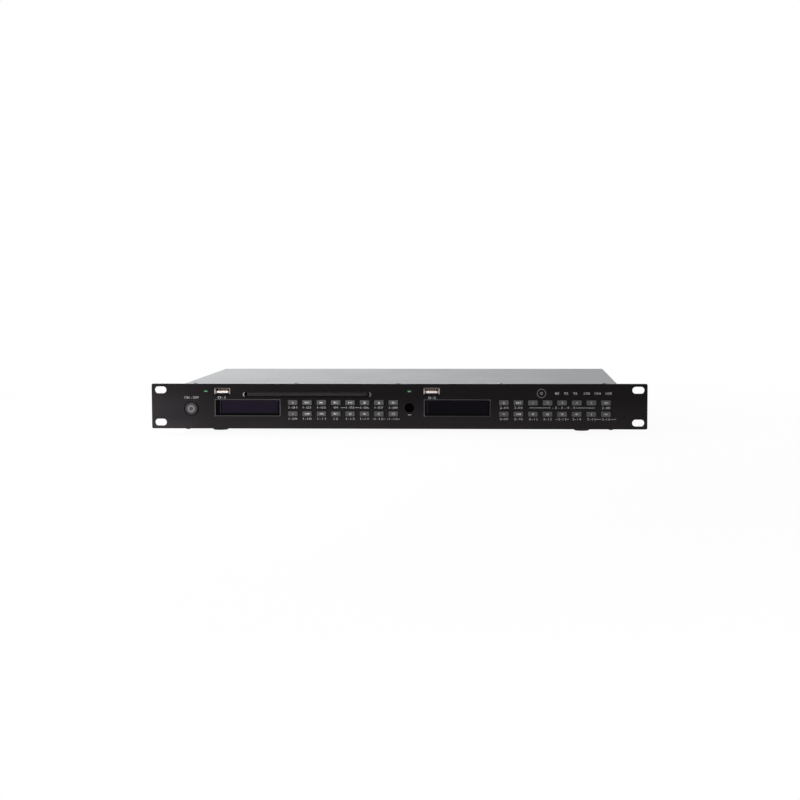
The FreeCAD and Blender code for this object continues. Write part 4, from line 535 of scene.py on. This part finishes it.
# Tuner: tinned can; the aerial socket is plated, with a white insulator round its hole.
look = Look("tin_can")
x, y, z = mount("aerial_socket")
mouth = look.both(look.fade(look.y, y - 0.5, y - 0.3), look.round(look.x, look.z, (x, z), 3.2))
look.paint([(None, (0.55, 0.55, 0.53), 0.32, 0.95), (mouth, (0.7, 0.7, 0.68), 0.5, 0.0)],
           vary=0.08, patch=90, grain=900, depth=0.01)
dress(look, "tuner_module")
dress(simple("motor_can", (0.55, 0.55, 0.56), 0.28, 0.95, vary=0.06, patch=200, grain=700, depth=0.01),
      "drive_motors")

# Mains inlet: matt black moulding; pins bright inside its cavity.
look = Look("inlet")
x, y, z = mount("mains_socket")
pins = look.both(look.fade(look.y, y - 15.8, y - 15.6), look.band(look.x, x - 7.6, x + 7.6),
                 look.band(look.z, z - 3.9, z + 3.9))
look.paint([(None, (0.02, 0.02, 0.021), 0.55, 0.0), (pins, (0.7, 0.66, 0.6), 0.3, 1.0)],
           vary=0.15, patch=200, grain=2400, depth=0.04)
dress(look.gloss(0.35), "mains_inlet")

# Phono jacks: a black block; the barrels that stand out behind the case are plated.
look = Look("jacks")
x, y, z = mount("audio_output")
barrel = look.fade(look.y, y - 7.1, y - 7.0)
mouth = look.fade(look.y, y - 0.4, y - 0.3)
white, red = (look.both(mouth, look.either(*(look.round(look.x, look.z, (across, up), 3.1)
                                             for across in (x - 7, x + 7))))
              for up in (z + 7, z - 7))
look.paint([(None, (0.02, 0.02, 0.021), 0.5, 0.0), (barrel, (0.72, 0.7, 0.66), 0.24, 1.0),
            (white, (0.75, 0.75, 0.73), 0.4, 0.0), (red, (0.5, 0.02, 0.02), 0.4, 0.0)],
           vary=0.08, patch=260, grain=2400, depth=0.02)
dress(look, "audio_jacks")

dress(simple("mech_moulding", (0.028, 0.028, 0.03), 0.5, vary=0.12, patch=70, grain=2600, depth=0.04),
      "mech_base")

# Ribbon cables: white lamination over a row of flat conductors.
look = Look("ribbon")
look.paint([(None, (0.72, 0.72, 0.7), 0.35, 0.0),
            (look.stripes(look.x, 1.0, -0.2, 0.2), (0.5, 0.51, 0.52), 0.3, 0.0)], vary=0.04, patch=100)
dress(look, "ribbon_cables")

# Standby button: grey cap, with a pale ring on it that is a painted highlight, and a dark eye in the middle.
look = Look("standby")
x, _, z = middle("standby_button")
eye = look.round(look.x, look.z, (x, z), 1.95)
# Painted highlight: a pale ring round the eye.
painted_ring_highlight = look.math("SUBTRACT", look.round(look.x, look.z, (x, z), 3.65), eye)
shoulder = look.round(look.x, look.z, (x, z), 5.7, 0.35)
look.paint([(None, (0.012, 0.012, 0.013), 0.5, 0.0), (shoulder, (0.021, 0.019, 0.021), 0.42, 0.0),
            (painted_ring_highlight, (0.125, 0.12, 0.125), 0.35, 0.0), (eye, (0.03, 0.029, 0.031), 0.35, 0.0)],
           vary=0.08, patch=300, grain=3000, depth=0.02)
dress(look.gloss(0.25), "standby_button")

# Keys: satin grey mouldings, paler where fingers polish them, with painted shade on their upper edges.
look = Look("key_cap")
keys = [name for name in frame["nodes"] if "_key_" in name]
tops = sorted({round(sides(name)[1][2], 2) for name in keys})
look.paint([(None, (0.047, 0.045, 0.047), 0.5, 0.0),
            (look.rise(look.noise(140, 3.0), 0.4, 0.7), (0.056, 0.0535, 0.056), 0.4, 0.0),
            # The dark band along each key's upper edge is painted shade.
            (look.bands(look.z, tops, -0.55, 0.1, 0.15), (0.012, 0.011, 0.012), 0.5, 0.0)],
           vary=0.06, patch=240, grain=3200, depth=0.02)
dress(look.gloss(0.3), *keys)

dress(simple("turntable", (0.02, 0.02, 0.022), 0.55, vary=0.15, patch=200, grain=2600, depth=0.04),
      "disc_turntable")
dress(simple("guide_moulding", (0.03, 0.03, 0.032), 0.45, vary=0.12, patch=90, grain=2600, depth=0.03),
      "disc_guide")

# Feed roller: a pale shaft and gear, with the rubber between them.
look = Look("feed_roller")
rubber = look.band(look.x, SLOT_X - 60.1, SLOT_X + 60.1, 0.1)
look.paint([(None, (0.7, 0.7, 0.68), 0.45, 0.0), (rubber, (0.035, 0.035, 0.036), 0.8, 0.0)],
           vary=0.1, patch=150, grain=2400, depth=0.05)
dress(look, "feed_roller")
dress(simple("gear_moulding", (0.72, 0.72, 0.69), 0.42, vary=0.05, patch=300, grain=2600, depth=0.02),
      "loading_pinion")
dress(simple("arm_moulding", (0.66, 0.66, 0.63), 0.45, vary=0.05, patch=120, grain=2600, depth=0.03),
      "clamp_arm")

# Sled: die-cast, with a dark blue lens. Its screw shows a turn of thread every three millimetres.
look = Look("sled")
lens = look.round(look.x, look.y, (SLOT_X, middle("laser_sled")[1]), 2.2)
look.paint([(None, (0.45, 0.45, 0.46), 0.45, 0.9), (lens, (0.02, 0.03, 0.09), 0.05, 0.0)],
           vary=0.12, patch=200, grain=1800, depth=0.05)
dress(look, "laser_sled")

look = Look("lead_screw")
look.paint([(None, (0.6, 0.6, 0.61), 0.22, 1.0),
            (look.stripes(look.y, 3.0, -0.3, 0.3), (0.25, 0.25, 0.26), 0.35, 1.0)],
           vary=0.06, patch=300, grain=1800, depth=0.01)
dress(look, "sled_screw")


# ---------------------------------------------------------------- screws

HEAD_R = 3.0
HEAD_HIGH = 1.8
SHANK_R = 1.45
SHANK_LONG = 5.5
RECESS = (1.6, 0.34)  # half the length and half the width of each arm of the cross


def lathe(bm, profile, steps=28):
    """A turned form about the z axis: (radius, z) points in millimetres from its lower to its upper end."""
    rows = []
    for radius, z in profile:
        if radius == 0:
            rows.append([bm.verts.new((0, 0, z * MM))] * steps)
            continue
        rows.append([bm.verts.new((radius * math.cos(2 * math.pi * i / steps) * MM,
                                   radius * math.sin(2 * math.pi * i / steps) * MM, z * MM))
                     for i in range(steps)])
    for low, high in zip(rows, rows[1:]):
        for i in range(steps):
            corners = [low[i - 1], low[i], high[i], high[i - 1]]
            bm.faces.new(list(dict.fromkeys(corners)))


def screw_mesh():
    """A pan-head screw with its seat at the origin and its head up.

    Its cross recess tapers from full size over the head to 0.45 of it at the recess's floor."""
    solid = bmesh.new()
    lathe(solid, [(0, -SHANK_LONG), (1.1, -SHANK_LONG), (SHANK_R, -5.1), (SHANK_R, 0), (HEAD_R, 0),
                  (HEAD_R, 0.3), (2.85, 0.75), (2.5, 1.15), (2.0, 1.47), (1.3, 1.71), (0.6, 1.79),
                  (0, HEAD_HIGH)])
    cutter = bmesh.new()
    for long, wide in (RECESS, RECESS[::-1]):
        top, low = ([cutter.verts.new((x * long * part * MM, y * wide * part * MM, z * MM))
                     for x, y in ((-1, -1), (1, -1), (1, 1), (-1, 1))]
                    for part, z in ((1.0, 2.2), (0.45, 0.55)))
        skin(cutter, [low, top], turned=True)
    holders = []
    for bm in (solid, cutter):
        mesh = bpy.data.meshes.new("screw")
        bm.to_mesh(mesh)
        bm.free()
        holders.append(bpy.data.objects.new("screw", mesh))
        bpy.context.scene.collection.objects.link(holders[-1])
    cut = holders[0].modifiers.new("recess", "BOOLEAN")
    cut.operation = "DIFFERENCE"
    cut.solver = "EXACT"
    cut.use_self = True
    cut.object = holders[1]
    bpy.context.view_layer.update()
    made = bpy.data.meshes.new_from_object(holders[0].evaluated_get(bpy.context.evaluated_depsgraph_get()))
    for holder in holders:
        bpy.data.objects.remove(holder)
    return made


def islands(bm):
    """The separate solids of a mesh, as lists of corners."""
    bm.verts.index_update()
    met = set()
    for first in bm.verts:
        if first.index in met:
            continue
        met.add(first.index)
        found, edge = [], [first]
        while edge:
            vert = edge.pop()
            found.append(vert.co.copy())
            for link in vert.link_edges:
                other = link.other_vert(vert)
                if other.index not in met:
                    met.add(other.index)
                    edge.append(other)
        yield found


def screw_places():
    """Where the CAD model's screws sit: the seat of each head, and the way that the head faces."""
    bm = bmesh.new()
    bm.from_mesh(bpy.data.objects["case_screws"].data)
    bmesh.ops.remove_doubles(bm, verts=bm.verts, dist=1e-6)
    for corners in islands(bm):
        low = Vector([min(c[i] for c in corners) for i in range(3)])
        high = Vector([max(c[i] for c in corners) for i in range(3)])
        along = max(range(3), key=lambda i: high[i] - low[i])
        centre = (low + high) / 2
        rim = [c[along] for c in corners
               if (c - centre).length_squared - (c - centre)[along] ** 2 > (0.9 * HEAD_R * MM) ** 2]
        facing = Vector((0, 0, 0))
        facing[along] = 1 if sum(rim) / len(rim) > centre[along] else -1
        centre[along] = (high if facing[along] > 0 else low)[along]
        yield centre - facing * HEAD_HIGH * MM, facing
    bm.free()


# The CAD model's plain screws give way to ones with a recess, each turned by an angle of its own.
black_zinc = simple("black_zinc", (0.022, 0.022, 0.024), 0.38, 0.6, vary=0.25, patch=500, grain=1800)
screw = screw_mesh()
bm = bmesh.new()
for seat, facing in screw_places():
    turned = screw.copy()
    spin = Matrix.Rotation(seat.x * 900 + seat.y * 400, 4, "Z")
    turned.transform(Matrix.Translation(seat) @ facing.to_track_quat("Z", "Y").to_matrix().to_4x4() @ spin)
    bm.from_mesh(turned)
    bpy.data.meshes.remove(turned)
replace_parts(piece("case_fasteners", bm, black_zinc), "case_screws")


# ---------------------------------------------------------------- printed marks on the panel

DISC_KEYS = [("volume_up", "next", "skip_forward", "folder_up", "play_pause", "stop", "eject", "mode"),
             ("volume_down", "previous", "skip_back", "folder_down", "program", "mute", "repeat", "display")]
TUNER_KEYS = [("volume_up", "next", "preset_1", "preset_2", "preset_3", "preset_4", "preset_5", "mode"),
              ("volume_down", "previous", "enter", "menu", "preset", "mute", "info", "auto_scan")]
KEYS = {"disc": DISC_KEYS, "tuner": TUNER_KEYS}
BARS = {"disc_play_pause": 4.4, "disc_repeat": 1.3, "disc_display": 1.3, "tuner_auto_scan": 4.9,
        "tuner_preset": 1.4}
PRINT = (PANEL_FACE - 0.04, PANEL_FACE + 0.02)
CAPTION_DROP = 5.0
LABEL_Z = 8.3
DIAL_Z = 12.6
DIAL = (("88", 154.4), ("92", 163.2), ("96", 172.0), ("100", 183.2), ("104", 193.6), ("108", 204.0))

marks = bmesh.new()


def caption(at, text, wide, high=2.1, bars=0.0):
    """Plain figures drawn to a width, with a bar of a given length on each side of them."""
    figures(marks, text, at, high, *PRINT, wide)
    if bars:
        away = wide / 2 + 0.7 + bars / 2
        for x in (at[0] - away, at[0] + away):
            stamp(marks, rectangle((x, at[1]), bars, 0.42), *PRINT)


# Under each key: its number, after the number of its bank where there is room. The five preset keys
# share one line, with their signs' figures.
for bank, (half, rows) in enumerate(KEYS.items(), 1):
    for row, names in enumerate(rows):
        for column, name in enumerate(names, 1):
            if name.startswith("preset_"):
                continue
            x, _, z = middle(half + "_key_" + name)
            number = "%02d" % (8 * row + column)
            if name.startswith("folder"):
                caption((x, z - CAPTION_DROP), number, 4.2)
            else:
                caption((x, z - CAPTION_DROP), "%d-%s" % (bank, number), 8.2,
                        bars=BARS.get(half + "_" + name, 0.0))

first = middle("tuner_key_preset_1")
last = middle("tuner_key_preset_5")
caption(((first[0] + last[0]) / 2, first[2] - 4.9), "1 - 2 - 3 - 4 - 5", 24.6, bars=18.5)

# Over the standby button, under each socket and, as a bar, under the infrared eye.
for x, text, wide in ((-201.9, "ON - OFF", 14.4), (-172.2, "0-1", 7.4), (33.7, "0-2", 7.4)):
    caption((x, LABEL_Z), text, wide, 2.4)
stamp(marks, rectangle((11.7, -8.3), 3.0, 0.6), *PRINT)

# The place at the top right holds a plain disc sign and the figures of a dial.
for text, x in DIAL:
    caption((x, DIAL_Z), text, 3.9 if len(text) == 2 else 5.7, 2.5)
print_look = simple("panel_print", (0.27, 0.265, 0.275), 0.6, vary=0.08, patch=900, grain=4000, depth=0.01)
piece("panel_marks", marks, print_look)

bm = bmesh.new()
sign = (139.5, 12.8)
for outline in ring(sign, 4.4, 3.8) + ring(sign, 1.5, 0.6):
    stamp(bm, outline, *PRINT)
dim_print = simple("dim_print", (0.09, 0.088, 0.092), 0.6, vary=0.1, patch=900, grain=4000, depth=0.01)
piece("disc_sign", bm, dim_print)


# ---------------------------------------------------------------- signs on the keys

key_print = simple("key_print", (0.36, 0.36, 0.38), 0.55, vary=0.06, patch=900, grain=4000, depth=0.01)
SIGN_FACE = (KEY_FACE - 0.04, KEY_FACE + 0.05)
SIGN_HIGH = 1.9


def sign_shapes(kind, at):
    """The plain sign on a key: flat outlines about two millimetres high."""
    x, z = at
    way = 1 if kind in ("next", "skip_forward", "folder_up") else -1
    if kind == "volume_up":
        return [rectangle(at, SIGN_HIGH, 0.5), rectangle(at, 0.5, SIGN_HIGH)]
    if kind == "volume_down":
        return [rectangle(at, SIGN_HIGH, 0.5)]
    if kind in ("next", "previous"):
        return [pointer((x - way * 1.3, z), SIGN_HIGH, way), pointer((x + way * 0.4, z), SIGN_HIGH, way),
                rectangle((x + way * 1.75, z), 0.5, SIGN_HIGH)]
    if kind in ("skip_forward", "skip_back"):
        return [pointer((x - way * 0.85, z), SIGN_HIGH, way), pointer((x + way * 0.85, z), SIGN_HIGH, way)]
    if kind in ("folder_up", "folder_down"):
        return [rectangle((x - 1.1, z), 1.9, 1.5), rectangle((x - 1.6, z + 0.95), 0.9, 0.4),
                peak((x + 1.3, z), 1.6, way)]
    if kind == "play_pause":
        return [pointer((x - 1.0, z), SIGN_HIGH, 1), rectangle((x + 0.75, z), 0.5, SIGN_HIGH),
                rectangle((x + 1.6, z), 0.5, SIGN_HIGH)]
    if kind == "stop":
        return [rectangle(at, SIGN_HIGH, SIGN_HIGH)]
    if kind == "eject":
        return [peak((x, z + 0.3), 2.1, 1), rectangle((x, z - 1.0), 2.1, 0.45)]
    if kind == "mode":
        return ring(at, 1.05, 0.65) + [rectangle((x + 1.7, z), 0.9, 0.45), rectangle((x - 1.7, z), 0.9, 0.45)]
    if kind in ("program", "menu"):
        return [rectangle((x, z + step), 2.4, 0.4) for step in (-0.75, 0, 0.75)]
    if kind == "mute":
        return [[(x - 1.3, z - 0.4), (x - 0.7, z - 0.4), (x + 0.1, z - 1.0), (x + 0.1, z + 1.0),
                 (x - 0.7, z + 0.4), (x - 1.3, z + 0.4)],
                rectangle((x + 1.0, z), 0.4, 1.5)]
    if kind == "repeat":
        return [arc(at, 1.15, 0.8, 60, 330), pointer((x + 0.75, z + 0.95), 1.0, 1)]
    if kind == "display":
        return [rectangle((x, z - 0.85), 2.8, 0.35), rectangle((x, z + 0.85), 2.8, 0.35),
                rectangle((x - 1.3, z), 0.35, 1.4), rectangle((x + 1.3, z), 0.35, 1.4)]
    if kind == "enter":
        return ring(at, 1.1, 0.75) + [dot(at, 0.4)]
    if kind == "preset":
        return [rectangle((x + a, z + b), 0.8, 0.7) for a in (-0.6, 0.6) for b in (-0.5, 0.5)]
    if kind == "info":
        return [dot((x, z + 0.85), 0.3, 10), rectangle((x, z - 0.35), 0.5, 1.5)]
    # auto_scan: two arrows that point apart
    return [pointer((x - 1.0, z), 1.5, -1), pointer((x + 1.0, z), 1.5, 1)]


def key_sign(half, name):
    """A key's own sign, printed on its cap and moving with it."""
    node = half + "_key_" + name
    x, _, z = middle(node)
    bm = bmesh.new()
    if name.startswith("preset_"):
        figures(bm, name[-1], (x, z), 2.2, *SIGN_FACE)
    else:
        for outline in sign_shapes(name, (x, z)):
            stamp(bm, outline, *SIGN_FACE)
    piece(node + "_sign", bm, key_print, body=node)


for half, rows in KEYS.items():
    for names in rows:
        for name in names:
            key_sign(half, name)


# ---------------------------------------------------------------- trim on the panel

# Disc slot: a metal lune in each rounded end stands in for the highlight there, a painted highlight, and the
# left one is painted brighter.
LUNE_R = 2.5
bm = bmesh.new()
for side, thick in ((-1, 1.2), (1, 1.6)):
    x = SLOT_X + side * SLOT_END
    facing = 90 - side * 90
    outer = sweep((x, SLOT_Z), LUNE_R, facing - 62, facing + 62, 14)
    inner = sweep((x - side * thick, SLOT_Z), LUNE_R, facing - 50, facing + 50, 14)
    stamp(bm, outer + inner[::-1], PANEL_FACE + 0.05, PANEL_FACE + 0.8)
look = Look("slot_end_highlight")
# Painted highlight: the left lune is brighter than the right.
painted_highlight_left_lune = look.fade(look.x, -60, -100)
look.paint([(None, (0.115, 0.11, 0.11), 0.3, 1.0), (painted_highlight_left_lune, (0.25, 0.24, 0.24), 0.3, 1.0)],
           vary=0.1, patch=400)
piece("slot_ends", bm, look)

# USB sockets: four spring contacts bowed over each tongue. A contact's line is given as y and the
# height over the socket's middle.
BOW = [(-1.6, 0.45), (0.4, 2.0), (2.0, 2.1), (4.5, 0.9), (7.0, 0.5)]
CONTACT_HALF = 0.6
CONTACT_THICK = 0.25
bm = bmesh.new()
for socket_x in SOCKETS:
    for step in (-3.5, -1.1, 1.1, 3.5):
        left, right = socket_x + step - CONTACT_HALF, socket_x + step + CONTACT_HALF
        skin(bm, [[bm.verts.new((x * MM, y * MM, (SOCKET_Z + rise + lift) * MM))
                   for x, lift in ((left, 0), (right, 0), (right, CONTACT_THICK), (left, CONTACT_THICK))]
                  for y, rise in BOW])
contact_gold = simple("contact_gold", (0.62, 0.52, 0.46), 0.35, 1.0, vary=0.1, patch=400)
piece("usb_contacts", bm, contact_gold)

# Disc slot: a felt curtain that hangs from the slot's upper edge. Its section is y and the height over
# the slot's middle; it sways and dips a little along its length and bulges less towards its ends.
CURTAIN = [(0.3, 2.3), (-1.1, 2.35), (-1.9, 1.4), (-2.35, -0.1), (-2.45, -1.1), (-2.2, -1.55), (-1.5, -1.5),
           (-1.3, -0.3), (-0.9, 0.8), (0.3, 1.1)]
CURTAIN_PARTS = 80
bm = bmesh.new()
start, end = SLOT_X - 59.0, SLOT_X + 60.0
rows = []
for step in range(CURTAIN_PARTS + 1):
    x = start + (end - start) * step / CURTAIN_PARTS
    sway = 0.07 * math.sin(x * 0.61) + 0.05 * math.sin(x * 1.37)
    dip = 0.05 * math.sin(x * 0.83)
    bulge = min(1.0, 0.35 + 1.3 * min(step, CURTAIN_PARTS - step) / 4)
    row = []
    for y, rise in CURTAIN:
        y_here = (y * bulge if y < 0 else y) + (sway if rise < 0.5 else 0)
        z_here = SLOT_Z + rise + (dip if rise < -0.5 else 0)
        row.append(bm.verts.new((x * MM, y_here * MM, z_here * MM)))
    rows.append(row)
skin(bm, rows, turned=True)
curtain = felt("felt_curtain", (0.019, 0.017, 0.0165), vary=0.2, patch=500, depth=0.1,
               grain_stretch=(0.5, 1, 1.4))
piece("slot_curtain", bm, curtain, smooth=True)


# ---------------------------------------------------------------- world, floor and lamps

# World: white where it is seen, and a weaker even light on the object.
world = bpy.data.worlds.new("studio")
bpy.context.scene.world = world
world.use_nodes = True
sky = Nodes(world.node_tree)
back = sky.tree.nodes["Background"]
sky.put(back.inputs["Color"], (1, 1, 1, 1))
sky.put(back.inputs["Strength"], sky.level(sky.backdrop_rays(), 0.42, 1.0))

# Floor: pale, with the object's shadow on it, and white where it is seen further off.
FLOOR_HALF = 8.0
floor_mesh = bpy.data.meshes.new("floor")
floor_mesh.from_pydata([(x * FLOOR_HALF, y * FLOOR_HALF, cad_box[0][2])
                        for x, y in ((-1, -1), (1, -1), (1, 1), (-1, 1))], [], [(0, 1, 2, 3)])
floor = bpy.data.objects.new("floor", floor_mesh)
bpy.context.scene.collection.objects.link(floor)
look = Look("pale_floor")
look.paint([(None, (0.88, 0.88, 0.88), 0.9, 0.0)], vary=0.01, patch=3, spread=0.02, grain=300, depth=0.01)
away = look.add("ShaderNodeVectorMath", {"operation": "LENGTH"}, look.place).outputs["Value"]
white = look.add("ShaderNodeEmission", {}, (1, 1, 1, 1), 1.0)
plain = look.both(look.backdrop_rays(), look.rise(away, 0.4, 1.1, 0.93, 1.0))
mixed = look.add("ShaderNodeMixShader", {}, plain, look.shader.outputs[0], white.outputs[0])
look.put(look.tree.nodes["Material Output"].inputs["Surface"], mixed.outputs[0])
floor_mesh.materials.append(look.material)


def softbox(name, place, target, size, watts):
    """A rectangular lamp aimed at a point, unseen by the camera; places and sizes in metres."""
    lamp = bpy.data.lights.new(name, "AREA")
    lamp.shape = "RECTANGLE"
    lamp.size, lamp.size_y = size
    lamp.energy = watts
    made = bpy.data.objects.new(name, lamp)
    bpy.context.scene.collection.objects.link(made)
    made.location = place
    made.rotation_euler = (Vector(target) - Vector(place)).to_track_quat("-Z", "Y").to_euler()
    made.visible_camera = False


softbox("key_lamp", (-0.68, -0.62, 0.2), (-0.14, 0, 0), (0.5, 0.35), 8.5)
softbox("cover_lamp", (-0.42, 0.2, 0.3), (0.02, 0.15, 0), (0.2, 0.2), 1.2)
softbox("top_lamp", (0.6, 0.1, 2.2), (0.1, 0.1, 0), (1.6, 1.6), 3)
softbox("back_lamp", (-0.3, 1.6, 0.6), (0, 0.27, 0), (0.9, 0.6), 9)
softbox("side_lamp", (1.6, 0.3, 0.45), (0.2, 0.15, 0), (0.8, 0.6), 9)
